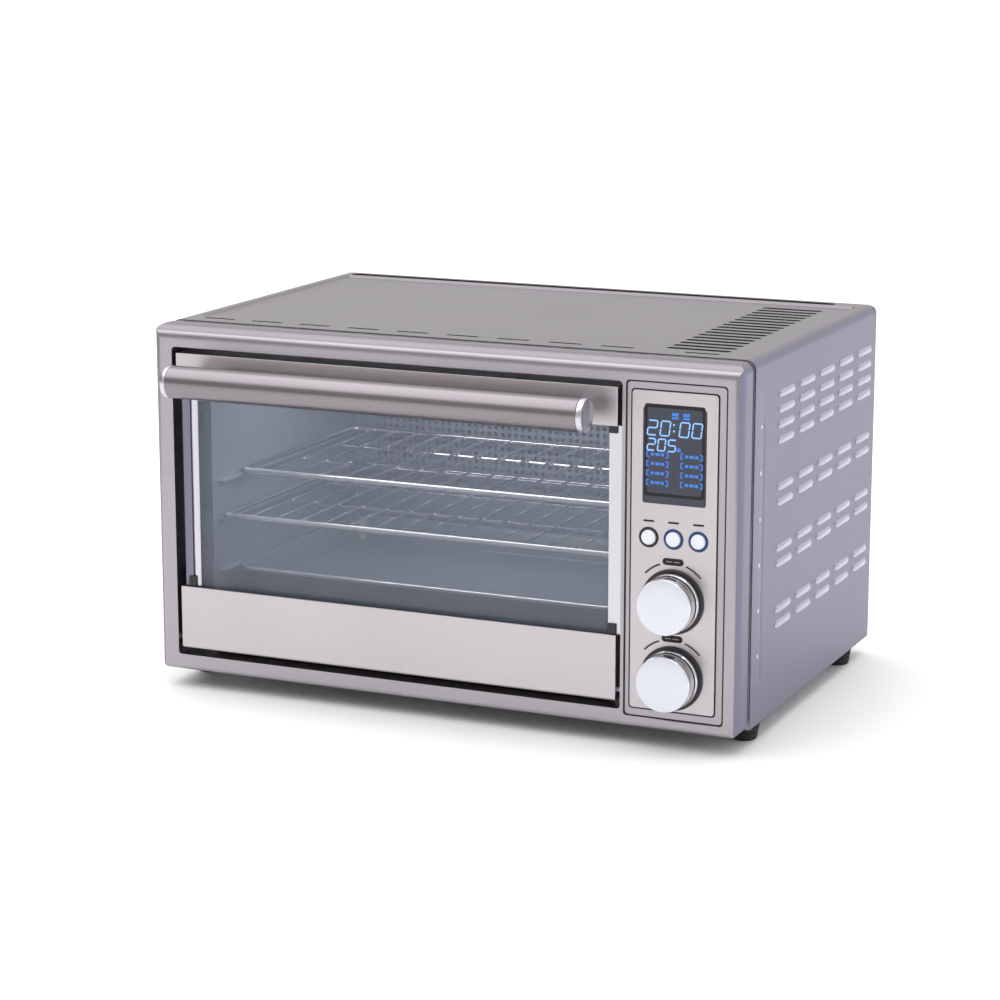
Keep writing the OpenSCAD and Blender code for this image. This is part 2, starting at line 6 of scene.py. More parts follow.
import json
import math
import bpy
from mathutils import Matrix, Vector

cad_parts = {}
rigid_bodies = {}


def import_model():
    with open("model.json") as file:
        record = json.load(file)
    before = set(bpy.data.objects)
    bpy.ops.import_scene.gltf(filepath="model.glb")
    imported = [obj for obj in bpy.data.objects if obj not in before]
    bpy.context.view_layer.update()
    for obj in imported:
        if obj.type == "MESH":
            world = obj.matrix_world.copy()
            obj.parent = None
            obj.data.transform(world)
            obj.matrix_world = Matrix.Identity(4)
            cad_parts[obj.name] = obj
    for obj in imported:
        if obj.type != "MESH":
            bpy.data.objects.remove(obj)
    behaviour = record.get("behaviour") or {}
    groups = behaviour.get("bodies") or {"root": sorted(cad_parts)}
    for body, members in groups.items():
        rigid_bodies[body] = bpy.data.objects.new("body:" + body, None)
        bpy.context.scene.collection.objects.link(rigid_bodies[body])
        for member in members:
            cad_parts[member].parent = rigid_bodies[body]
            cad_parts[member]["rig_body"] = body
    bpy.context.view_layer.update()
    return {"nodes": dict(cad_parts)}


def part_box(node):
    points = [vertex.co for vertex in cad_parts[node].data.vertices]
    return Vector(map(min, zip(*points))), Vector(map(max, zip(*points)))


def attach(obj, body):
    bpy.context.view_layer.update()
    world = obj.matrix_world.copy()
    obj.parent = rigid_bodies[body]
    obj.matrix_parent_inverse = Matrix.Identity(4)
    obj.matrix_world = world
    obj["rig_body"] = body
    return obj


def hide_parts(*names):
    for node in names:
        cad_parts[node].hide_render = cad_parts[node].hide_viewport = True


bl_info = {
    "name": "Toaster Oven",
    "version": (1, 0, 0),
    "blender": (4, 5, 0),
    "location": "3D View > Sidebar > Toaster Oven",
    "description": "Builds a countertop convection toaster oven piece by piece around its frame",
    "category": "Object",
}

import bmesh
import bpy
from bpy.props import FloatProperty, FloatVectorProperty, IntProperty, PointerProperty
from mathutils import Vector

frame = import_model()
MM = 0.001

# Turns that lay a form drawn in X and Y, facing up, on each side of the oven
FACING = {
    "front": (math.pi / 2, 0, 0),
    "back": (math.pi / 2, 0, math.pi),
    "right": (math.pi / 2, 0, math.pi / 2),
    "left": (math.pi / 2, 0, -math.pi / 2),
    "top": (0, 0, 0),
    "under": (math.pi, 0, 0),
}


def linear(code):
    """An sRGB hex colour as linear red, green, blue and alpha."""
    channels = [int(code[i:i + 2], 16) / 255 for i in (0, 2, 4)]
    return (*[c / 12.92 if c <= 0.04045 else ((c + 0.055) / 1.055) ** 2.4 for c in channels], 1.0)


# ---- settings that a user would change ----


class OvenFinish(bpy.types.PropertyGroup):
    """Colours of the finishes."""

    frame: FloatVectorProperty(
        name="Frame", description="Brushed steel of the front frame",
        subtype="COLOR", size=4, min=0, max=1, default=linear("a9a4a9"))
    door: FloatVectorProperty(
        name="Door", description="Brushed steel of the door and the control plate",
        subtype="COLOR", size=4, min=0, max=1, default=linear("c3bdc0"))
    # The top and side colours are two tones of one sheet: the sides' darker, cooler tone is painted shade.
    top: FloatVectorProperty(
        name="Top", description="Rolled steel of the wrapper's top",
        subtype="COLOR", size=4, min=0, max=1, default=linear("888388"))
    side: FloatVectorProperty(
        name="Sides", description="Rolled steel of the wrapper's sides",
        subtype="COLOR", size=4, min=0, max=1, default=linear("807e8f"))
    cavity: FloatVectorProperty(
        name="Cavity", description="Aluminised steel inside the oven",
        subtype="COLOR", size=4, min=0, max=1, default=linear("98a0ac"))
    # The glass colour is its tint and also a painted reflection haze over the cavity.
    glass: FloatVectorProperty(
        name="Door glass", description="Tint of the door glass",
        subtype="COLOR", size=4, min=0, max=1, default=linear("767e8c"))
    knob: FloatVectorProperty(
        name="Knob face", description="Spun aluminium of the knob faces",
        subtype="COLOR", size=4, min=0, max=1, default=linear("dfe1ea"))
    digits: FloatVectorProperty(
        name="Digits", description="Light of the clock digits",
        subtype="COLOR", size=4, min=0, max=1, default=linear("8fc0ff"))
    modes: FloatVectorProperty(
        name="Mode fields", description="Light of the mode fields and of the lit buttons",
        subtype="COLOR", size=4, min=0, max=1, default=linear("3f7fe0"))


class OvenSizes(bpy.types.PropertyGroup):
    """Sizes of the details that the frame leaves to the looks."""

    edge: FloatProperty(
        name="Edge radius", description="Radius of the folded sheet edges",
        unit="LENGTH", min=0.0001, max=0.001, default=0.5 * MM)
    hood: FloatProperty(
        name="Louvre height", description="How far a louvre stands out of the side",
        unit="LENGTH", min=0.0005, max=0.002, default=1.6 * MM)
    recess: FloatProperty(
        name="Top recess", description="How deep the top panel is pressed",
        unit="LENGTH", min=0.0, max=0.003, default=1.6 * MM)
    hole: FloatProperty(
        name="Hole radius", description="Radius of the perforations in the rear wall",
        unit="LENGTH", min=0.001, max=0.0028, default=2.0 * MM)
    hole_pitch: FloatProperty(
        name="Hole pitch", description="Distance between the perforations",
        unit="LENGTH", min=0.006, max=0.01, default=6.4 * MM)
    wires: IntProperty(
        name="Rack wires", description="Number of wires in a rack", min=9, max=21, default=15)


class OvenStage(bpy.types.PropertyGroup):
    """The floor, the lights and the camera."""

    floor: FloatVectorProperty(
        name="Floor", description="Colour of the floor",
        subtype="COLOR", size=4, min=0, max=1, default=linear("fafafa"))
    key: FloatProperty(
        name="Key light", description="Strength of the broad light above and ahead of the oven",
        min=0, max=10, default=2.2)
    lamp: FloatProperty(
        name="Oven lamp", description="Power of the lamp under the roof of the cavity",
        unit="POWER", min=0, max=20, default=0.75)
    sky: FloatProperty(
        name="Surround", description="Brightness of the surround", min=0, max=3, default=1.02)
    shade: FloatProperty(
        name="Dark side", description="Brightness of the surround behind the viewer, as a share",
        min=0, max=1, default=0.45)
    lens: FloatProperty(
        name="Lens", description="Focal length of the camera", unit="CAMERA", min=20, max=200, default=102.7)


# ---- materials ----


def add(tree, kind, inputs=None, **settings):
    """Adds a node; each input is a value, the socket that feeds it, or a list of such sockets."""
    node = tree.nodes.new(kind)
    for name, value in settings.items():
        setattr(node, name, value)
    for name, value in (inputs or {}).items():
        sources = value if isinstance(value, Feeds) else [value]
        for source in sources:
            if isinstance(source, bpy.types.NodeSocket):
                tree.links.new(source, node.inputs[name])
            else:
                node.inputs[name].default_value = source
    return node


class Feeds(list):
    """Several sockets that feed one input."""


def material(name, inputs, pattern):
    """A Principled material, made once; pattern(tree, place) returns the inputs that nodes feed."""
    made = bpy.data.materials.get(name)
    if made:
        return made
    made = bpy.data.materials.new(name)
    made.use_nodes = True
    tree = made.node_tree
    tree.nodes.clear()
    place = add(tree, "ShaderNodeTexCoord").outputs["Object"]
    shader = add(tree, "ShaderNodeBsdfPrincipled", {**inputs, **pattern(tree, place)})
    add(tree, "ShaderNodeOutputMaterial", {"Surface": shader.outputs["BSDF"]})
    return made


def shade(colour, amount):
    """The colour, darker or lighter by a factor."""
    return (*[min(1.0, channel * amount) for channel in colour[:3]], 1.0)


def streaks(axis, colour, rough, contrast=0.1, line=1.3, run=140.0, depth=0.01):
    """A brushed sheet: grain lines along one axis, `line` apart and `run` long in mm, drawn coarser
    than the real 0.1 mm scratches so that they show, over a broad cloudy change of tone."""

    def pattern(tree, place):
        scale = [1 / (line * MM)] * 3
        scale[axis] = 1 / (run * MM)
        laid = add(tree, "ShaderNodeMapping", {"Vector": place, "Scale": scale}).outputs["Vector"]
        grain = add(tree, "ShaderNodeTexNoise",
                    {"Vector": laid, "Scale": 1.0, "Detail": 3.0, "Roughness": 0.6}).outputs["Fac"]
        cloud = add(tree, "ShaderNodeTexNoise",
                    {"Vector": place, "Scale": 7.0, "Detail": 1.0}).outputs["Fac"]
        both = add(tree, "ShaderNodeMath", {0: grain, 1: cloud}, operation="ADD").outputs[0]
        tone = add(tree, "ShaderNodeMapRange",
                   {"Value": both, "From Min": 0.7, "From Max": 1.3}).outputs["Result"]
        paint = add(tree, "ShaderNodeMix",
                    {0: tone, 6: shade(colour, 1 - contrast), 7: shade(colour, 1 + contrast)},
                    data_type="RGBA").outputs[2]
        dull = add(tree, "ShaderNodeMapRange",
                   {"Value": grain, "To Min": rough - 0.05, "To Max": rough + 0.09}).outputs["Result"]
        bump = add(tree, "ShaderNodeBump",
                   {"Height": grain, "Strength": 0.25, "Distance": depth * MM}).outputs["Normal"]
        return {"Base Color": paint, "Roughness": dull, "Normal": bump}

    return pattern


def grained(colour, rough, size, contrast=0.08, depth=0.02, spread=0.06):
    """A fine random grain, `size` mm across, for moulded, cast, coated and rubber surfaces."""

    def pattern(tree, place):
        grain = add(tree, "ShaderNodeTexNoise",
                    {"Vector": place, "Scale": 1 / (size * MM), "Detail": 2.0}).outputs["Fac"]
        paint = add(tree, "ShaderNodeMix",
                    {0: grain, 6: shade(colour, 1 - contrast), 7: shade(colour, 1 + contrast)},
                    data_type="RGBA").outputs[2]
        dull = add(tree, "ShaderNodeMapRange",
                   {"Value": grain, "To Min": rough - spread, "To Max": rough + spread}).outputs["Result"]
        bump = add(tree, "ShaderNodeBump",
                   {"Height": grain, "Strength": 0.3, "Distance": depth * MM}).outputs["Normal"]
        return {"Base Color": paint, "Roughness": dull, "Normal": bump}

    return pattern


def frame_steel():
    """Drawn stainless sheet, brushed along its width after forming: satin, a little darker."""
    colour = bpy.context.scene.oven_finish.frame
    return material("stainless_drawn", {"Metallic": 1.0}, streaks(0, colour, 0.3, 0.035))


def door_steel():
    """Flat stainless sheet brushed along its width: satin, with fine level streaks."""
    colour = bpy.context.scene.oven_finish.door
    return material("stainless_brushed", {"Metallic": 1.0}, streaks(0, colour, 0.34, 0.04))


def top_steel():
    """Rolled stainless sheet with a level grain: dull and warm; the sides of the same sheet get a second tone
    of painted shade.
    """
    colour = bpy.context.scene.oven_finish.top
    return material("stainless_rolled_top", {"Metallic": 1.0}, streaks(0, colour, 0.4, 0.035, 1.6, 220.0))


def shaded_side_steel():
    """The same rolled sheet bent down the sides, with its grain upright, painted darker and cooler than the
    top: painted shade.
    """
    colour = bpy.context.scene.oven_finish.side
    return material("stainless_rolled_side", {"Metallic": 1.0}, streaks(2, colour, 0.38, 0.035, 1.6, 220.0))


def louvre_steel():
    """Stainless sheet over the louvres, smoother than the side and painted lighter: painted light for the
    light that the raised louvres catch.
    """
    return material("louvre_steel", {"Metallic": 1.0},
                    streaks(1, linear("b4b2c4"), 0.24, 0.03, 1.2, 60.0))


def handle_steel():
    """Stainless tube brushed round its length: satin with long soft reflections."""
    return material("stainless_tube", {"Metallic": 1.0}, streaks(0, linear("8b8589"), 0.28, 0.04, 0.9, 260.0))


def trim_steel():
    """Bright-rolled stainless strip: nearly white, with a faint upright grain."""
    return material("stainless_bright", {"Metallic": 1.0}, streaks(2, linear("cfcdd3"), 0.3, 0.04, 1.0, 90.0))


def aluminised_steel():
    """Hot-dip aluminised cavity sheet: soft blue-grey with a fine matt mottle."""
    colour = bpy.context.scene.oven_finish.cavity
    return material("aluminised_steel", {"Metallic": 0.45}, grained(colour, 0.42, 2.2, 0.07))


def galvanised_steel():
    """Hot-dip galvanised sheet: crystal spangle about 12 mm across, each grain its own grey."""

    def pattern(tree, place):
        cell = add(tree, "ShaderNodeTexVoronoi", {"Vector": place, "Scale": 1 / (12 * MM)})
        value = add(tree, "ShaderNodeSeparateColor", {"Color": cell.outputs["Color"]}).outputs["Red"]
        paint = add(tree, "ShaderNodeMix", {0: value, 6: linear("a9adb2"), 7: linear("c6c9cc")},
                    data_type="RGBA").outputs[2]
        dull = add(tree, "ShaderNodeMapRange",
                   {"Value": value, "To Min": 0.34, "To Max": 0.52}).outputs["Result"]
        return {"Base Color": paint, "Roughness": dull}

    return material("galvanised_steel", {"Metallic": 1.0}, pattern)


def shade_dark_steel():
    """Crumb-tray sheet painted dark grey, with a low sheen: painted shade for the shadowed gap under the
    door.
    """
    return material("steel_blued", {"Metallic": 0.8}, grained(linear("4a484c"), 0.45, 2.0, 0.1))


def chrome():
    """Bright chrome plate on wire and knob skirts: mirror-like, with faint polishing haze."""
    return material("chrome_plate", {"Metallic": 1.0},
                    grained(linear("e4e4e8"), 0.12, 6.0, 0.02, 0.002, 0.04))


def highlight_wire():
    """Wire painted nearly white, with a soft gloss: a painted highlight on the racks' front rods and the
    tray's front rim.
    """
    return material("nickel_wire", {"Metallic": 0.55}, grained(linear("eceef2"), 0.24, 6.0, 0.04))


def knob_face(name, centre):
    """Spun aluminium disc: fine rings round the knob's axis, 0.9 mm apart."""
    colour = bpy.context.scene.oven_finish.knob

    def pattern(tree, place):
        laid = add(tree, "ShaderNodeMapping",
                   {"Vector": place, "Location": [-c for c in centre]}).outputs["Vector"]
        flat = add(tree, "ShaderNodeVectorMath", {0: laid, 1: (1, 0, 1)},
                   operation="MULTIPLY").outputs["Vector"]
        reach = add(tree, "ShaderNodeVectorMath", {0: flat}, operation="LENGTH").outputs["Value"]
        turns = add(tree, "ShaderNodeMath", {0: reach, 1: 2 * math.pi / (0.9 * MM)},
                    operation="MULTIPLY").outputs[0]
        rings = add(tree, "ShaderNodeMath", {0: turns}, operation="SINE").outputs[0]
        tone = add(tree, "ShaderNodeMapRange", {"Value": rings, "From Min": -1.0}).outputs["Result"]
        paint = add(tree, "ShaderNodeMix", {0: tone, 6: shade(colour, 0.96), 7: shade(colour, 1.03)},
                    data_type="RGBA").outputs[2]
        dull = add(tree, "ShaderNodeMapRange",
                   {"Value": tone, "To Min": 0.38, "To Max": 0.46}).outputs["Result"]
        bump = add(tree, "ShaderNodeBump",
                   {"Height": tone, "Strength": 0.2, "Distance": 0.01 * MM}).outputs["Normal"]
        return {"Base Color": paint, "Roughness": dull, "Normal": bump}

    return material(name, {"Metallic": 0.6}, pattern)


def enamel():
    """Vitreous enamel on the baking tray: glossy grey with small pale specks."""

    def pattern(tree, place):
        speck = add(tree, "ShaderNodeTexVoronoi",
                    {"Vector": place, "Scale": 1 / (4 * MM)}).outputs["Distance"]
        spot = add(tree, "ShaderNodeMapRange",
                   {"Value": speck, "From Min": 0.1, "From Max": 0.16, "To Min": 1.0,
                    "To Max": 0.0}).outputs["Result"]
        paint = add(tree, "ShaderNodeMix", {0: spot, 6: linear("70767e"), 7: linear("a3a9b0")},
                    data_type="RGBA").outputs[2]
        wave = add(tree, "ShaderNodeTexNoise", {"Vector": place, "Scale": 60.0}).outputs["Fac"]
        bump = add(tree, "ShaderNodeBump",
                   {"Height": wave, "Strength": 0.3, "Distance": 0.05 * MM}).outputs["Normal"]
        return {"Base Color": paint, "Normal": bump}

    return material("vitreous_enamel", {"Roughness": 0.16, "IOR": 1.52}, pattern)


def black_plastic():
    """Black ABS, spark-eroded mould finish: dark with a soft sheen."""
    return material("abs_black", {"IOR": 1.53}, grained(linear("1d1b1f"), 0.42, 0.9, 0.15))


def white_plastic():
    """White ABS of the buttons: smooth, faintly mottled by the light inside it."""
    return material("abs_white", {"IOR": 1.53, "Coat Weight": 0.3},
                    grained(linear("e9ebf2"), 0.25, 2.5, 0.03))


def rubber():
    """Moulded nitrile rubber: matt black-grey."""
    return material("rubber_moulded", {"IOR": 1.52}, grained(linear("222124"), 0.75, 0.8, 0.2, 0.05))


def heater_sheath():
    """Oxidised Incoloy heater sheath: brown-grey with blue heat tint in patches."""

    def pattern(tree, place):
        patch = add(tree, "ShaderNodeTexNoise",
                    {"Vector": place, "Scale": 22.0, "Detail": 3.0}).outputs["Fac"]
        tone = add(tree, "ShaderNodeMapRange",
                   {"Value": patch, "From Min": 0.4, "From Max": 0.6}).outputs["Result"]
        paint = add(tree, "ShaderNodeMix", {0: tone, 6: linear("5b514c"), 7: linear("6c7382")},
                    data_type="RGBA").outputs[2]
        dull = add(tree, "ShaderNodeMapRange",
                   {"Value": patch, "To Min": 0.4, "To Max": 0.65}).outputs["Result"]
        return {"Base Color": paint, "Roughness": dull}

    return material("incoloy_oxidised", {"Metallic": 0.85}, pattern)


def ceramic():
    """Steatite bush: unglazed cream ceramic with fine specks."""
    return material("steatite", {"IOR": 1.6}, grained(linear("e7e0cf"), 0.6, 0.7, 0.08, 0.03))


def zinc():
    """Zinc-plated steel: pale, slightly blue and mottled."""
    return material("zinc_plate", {"Metallic": 1.0}, grained(linear("b9bec6"), 0.32, 1.5, 0.1))


def circuit_board():
    """FR-4 board: green solder mask over a weave of copper tracks 2.5 mm apart."""

    def pattern(tree, place):
        laid = add(tree, "ShaderNodeMapping",
                   {"Vector": place, "Rotation": (math.pi / 2, 0, 0)}).outputs["Vector"]
        track = add(tree, "ShaderNodeTexBrick",
                    {"Vector": laid, "Scale": 1 / (10 * MM), "Color1": linear("0c4a2c"),
                     "Color2": linear("0f5533"),
                     "Mortar": linear("1f7a48"), "Mortar Size": 0.03})
        bump = add(tree, "ShaderNodeBump",
                   {"Height": track.outputs["Fac"], "Strength": 0.3, "Distance": 0.03 * MM}).outputs["Normal"]
        return {"Base Color": track.outputs["Color"], "Normal": bump}

    return material("fr4_solder_mask", {"Roughness": 0.35}, pattern)


def door_glass():
    """Tempered soda-lime pane with a blue-grey tint, drawn part opaque: its colour lays a pale veil over the
    cavity, a painted reflection haze, and its tone varies a little at random.
    """
    colour = bpy.context.scene.oven_finish.glass

    def pattern(tree, place):
        tone_noise = add(tree, "ShaderNodeTexNoise", {"Vector": place, "Scale": 6.0, "Detail": 2.0}).outputs["Fac"]
        paint = add(tree, "ShaderNodeMix", {0: tone_noise, 6: shade(colour, 0.93), 7: shade(colour, 1.07)},
                    data_type="RGBA").outputs[2]
        return {"Base Color": paint}

    return material("tempered_glass", {"Roughness": 0.05, "IOR": 1.52, "Alpha": 0.36}, pattern)


def window_lens():
    """Smoked acrylic display window: deep blue-black and glossy."""
    return material("smoked_acrylic", {"IOR": 1.49, "Coat Weight": 0.5},
                    grained(linear("131b34"), 0.12, 30.0, 0.08, 0.001, 0.03))


def glow(name, colour, strength):
    """Lit display ink: its light is a little uneven from lamp to lamp."""

    def pattern(tree, place):
        lamp = add(tree, "ShaderNodeTexNoise", {"Vector": place, "Scale": 400.0}).outputs["Fac"]
        paint = add(tree, "ShaderNodeMix", {0: lamp, 6: shade(colour, 0.8), 7: shade(colour, 1.1)},
                    data_type="RGBA").outputs[2]
        return {"Emission Color": paint}

    return material(name, {"Base Color": shade(colour, 0.3), "Emission Strength": strength}, pattern)


def printed(name, code):
    """Screen-printed ink: flat, a little rough and slightly uneven in cover."""
    return material(name, {"IOR": 1.45}, grained(linear(code), 0.55, 1.2, 0.12, 0.005))


# ---- forms ----


def keep(name, form, finish, angle=35):
    """Turns a bmesh into a piece at the origin, smooth except at edges sharper than angle."""
    mesh = bpy.data.meshes.new(name)
    form.to_mesh(mesh)
    form.free()
    piece = bpy.data.objects.new(name, mesh)
    bpy.context.scene.collection.objects.link(piece)
    mesh.materials.append(finish)
    smooth(mesh, angle)
    return piece


def smooth(mesh, angle=35):
    """Smooth faces, with the edges sharper than angle kept sharp."""
    for face in mesh.polygons:
        face.use_smooth = True
    mesh.set_sharp_from_angle(angle=math.radians(angle))


def settled(piece):
    """Applies a piece's modifiers, so that it is a plain mesh."""
    made = piece.evaluated_get(bpy.context.evaluated_depsgraph_get())
    mesh = bpy.data.meshes.new_from_object(made)
    piece.modifiers.clear()
    piece.data = mesh
    return piece


def softened(node, finish, radius=0.5 * MM, segments=2, name=None):
    """A copy of a CAD node with its sharp edges rounded."""
    form = bmesh.new()
    form.from_mesh(frame["nodes"][node].data)
    bmesh.ops.remove_doubles(form, verts=form.verts, dist=0.005 * MM)
    bmesh.ops.dissolve_limit(form, angle_limit=math.radians(0.5), verts=form.verts, edges=form.edges)
    for face in form.faces:
        face.material_index = 0
        face.smooth = True
    mesh = bpy.data.meshes.new(node)
    form.to_mesh(mesh)
    form.free()
    mesh.materials.append(finish)
    piece = bpy.data.objects.new(name or node + "_formed", mesh)
    bpy.context.scene.collection.objects.link(piece)
    edges = piece.modifiers.new("Edges", "BEVEL")
    edges.width = radius
    edges.segments = segments
    edges.limit_method = "ANGLE"
    edges.angle_limit = math.radians(35)
    edges.use_clamp_overlap = False
    flats = piece.modifiers.new("Flats", "WEIGHTED_NORMAL")
    flats.weight = 100
    flats.keep_sharp = True
    return settled(piece)


def refaced(piece, finish, chosen):
    """Gives a second finish to the faces that chosen(face) picks."""
    piece.data.materials.append(finish)
    for face in piece.data.polygons:
        if chosen(face):
            face.material_index = len(piece.data.materials) - 1
    return piece


def seated(piece, slot, *nodes, body=None):
    """The piece rides on the body of the nodes that it stands for, which it hides; slot is not used."""
    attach(piece, body or frame["nodes"][nodes[0]]["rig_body"])
    if nodes:
        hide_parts(*nodes)
    return piece


def turned(name, outline, along, centre, finish, sides=96):
    """A solid of revolution; outline is (radius, reach) pairs from one pole of the axis to the other."""
    axis = Vector(along).normalized()
    across = axis.orthogonal().normalized()
    up = axis.cross(across)
    form = bmesh.new()
    rings = []
    for radius, reach in outline:
        middle = Vector(centre) + axis * reach
        if radius == 0:
            rings.append([form.verts.new(middle)])
            continue
        rings.append([form.verts.new(middle + radius * (across * math.cos(2 * math.pi * i / sides)
                                                        + up * math.sin(2 * math.pi * i / sides)))
                      for i in range(sides)])
    for low, high in zip(rings, rings[1:]):
        for i in range(sides):
            j = (i + 1) % sides
            corners = [low[i % len(low)], low[j % len(low)], high[j % len(high)], high[i % len(high)]]
            form.faces.new(list(dict.fromkeys(corners)))
    bmesh.ops.recalc_face_normals(form, faces=form.faces)
    return keep(name, form, finish)


def block(form, low, high):
    """Adds a box between two corners to a bmesh."""
    made = bmesh.ops.create_cube(form, size=1.0)["verts"]
    for vert in made:
        vert.co = Vector([(a + b) / 2 + c * (b - a) for a, b, c in zip(low, high, vert.co)])


def oblong(length, width, corners=6):
    """Points round an oblong with round ends, its length along X."""
    bend = width / 2
    return [Vector(((length / 2 - bend) * side + bend * math.cos(angle), bend * math.sin(angle), 0))
            for side, start in ((1, -math.pi / 2), (-1, math.pi / 2))
            for angle in [start + math.pi * i / corners for i in range(corners + 1)]]


def slab(form, outline, low, high):
    """Adds a flat slab of one outline between two heights to a bmesh."""
    bottom = [form.verts.new(p + Vector((0, 0, low))) for p in outline]
    top = [form.verts.new(p + Vector((0, 0, high))) for p in outline]
    form.faces.new(list(reversed(bottom)))
    form.faces.new(top)
    for i in range(len(outline)):
        j = (i + 1) % len(outline)
        form.faces.new([bottom[i], bottom[j], top[j], top[i]])


def joined(name, pieces):
    """One piece out of several."""
    form = bmesh.new()
    finish = pieces[0].data.materials[0]
    for piece in pieces:
        form.from_mesh(piece.data)
        bpy.data.objects.remove(piece)
    return keep(name, form, finish)


# ---- what repeats ----


def repeat_tree(name, numbers, places):
    """A geometry tree with a copied form, a finish, counts and sizes as named inputs."""
    tree = bpy.data.node_groups.new(name, "GeometryNodeTree")
    tree.interface.new_socket("Geometry", in_out="OUTPUT", socket_type="NodeSocketGeometry")
    tree.interface.new_socket("Finish", in_out="INPUT", socket_type="NodeSocketMaterial")
    for label, value in numbers.items():
        kind = "NodeSocketInt" if isinstance(value, int) else "NodeSocketFloat"
        tree.interface.new_socket(label, in_out="INPUT", socket_type=kind).default_value = value
    for label in places:
        tree.interface.new_socket(label, in_out="INPUT", socket_type="NodeSocketVector")
    return tree, add(tree, "NodeGroupInput").outputs


def close_tree(tree, geometry, given):
    """Ends a tree: turned and placed, made real and given its finish."""
    placed = add(tree, "GeometryNodeTransform",
                 {"Geometry": geometry, "Translation": given["Centre"], "Rotation": given["Turn"]})
    real = add(tree, "GeometryNodeRealizeInstances", {"Geometry": placed.outputs["Geometry"]})
    covered = add(tree, "GeometryNodeSetMaterial",
                  {"Geometry": real.outputs["Geometry"], "Material": given["Finish"]})
    add(tree, "NodeGroupOutput", {"Geometry": covered.outputs["Geometry"]})
    return tree


def grid_tree():
    """Copies of one form in columns and rows."""
    tree, given = repeat_tree("Copies in a grid",
                              {"Columns": 2, "Rows": 2, "Column Pitch": 0.01, "Row Pitch": 0.01},
                              ("Centre", "Turn"))
    tree.interface.new_socket("Form", in_out="INPUT", socket_type="NodeSocketObject")
    steps = [add(tree, "ShaderNodeMath", {0: given[count], 1: 1.0}, operation="SUBTRACT").outputs[0]
             for count in ("Columns", "Rows")]
    reach = [add(tree, "ShaderNodeMath", {0: step, 1: given[pitch]}, operation="MULTIPLY").outputs[0]
             for step, pitch in zip(steps, ("Column Pitch", "Row Pitch"))]
    points = add(tree, "GeometryNodeMeshGrid",
                 {"Size X": reach[0], "Size Y": reach[1], "Vertices X": given["Columns"],
                  "Vertices Y": given["Rows"]}).outputs["Mesh"]
    form = add(tree, "GeometryNodeObjectInfo", {"Object": given["Form"]}).outputs["Geometry"]
    copies = add(tree, "GeometryNodeInstanceOnPoints",
                 {"Points": points, "Instance": form}).outputs["Instances"]
    return close_tree(tree, copies, given)


def arc_tree():
    """Copies of one form along an arc."""
    tree, given = repeat_tree("Copies on an arc", {"Count": 5, "Radius": 0.03, "Start": 0.0, "Sweep": 1.0},
                              ("Centre", "Turn"))
    tree.interface.new_socket("Form", in_out="INPUT", socket_type="NodeSocketObject")
    arc = add(tree, "GeometryNodeCurveArc",
              {"Resolution": 32, "Radius": given["Radius"], "Start Angle": given["Start"],
               "Sweep Angle": given["Sweep"]}).outputs["Curve"]
    points = add(tree, "GeometryNodeCurveToPoints", {"Curve": arc, "Count": given["Count"]}).outputs["Points"]
    form = add(tree, "GeometryNodeObjectInfo", {"Object": given["Form"]}).outputs["Geometry"]
    copies = add(tree, "GeometryNodeInstanceOnPoints",
                 {"Points": points, "Instance": form}).outputs["Instances"]
    return close_tree(tree, copies, given)


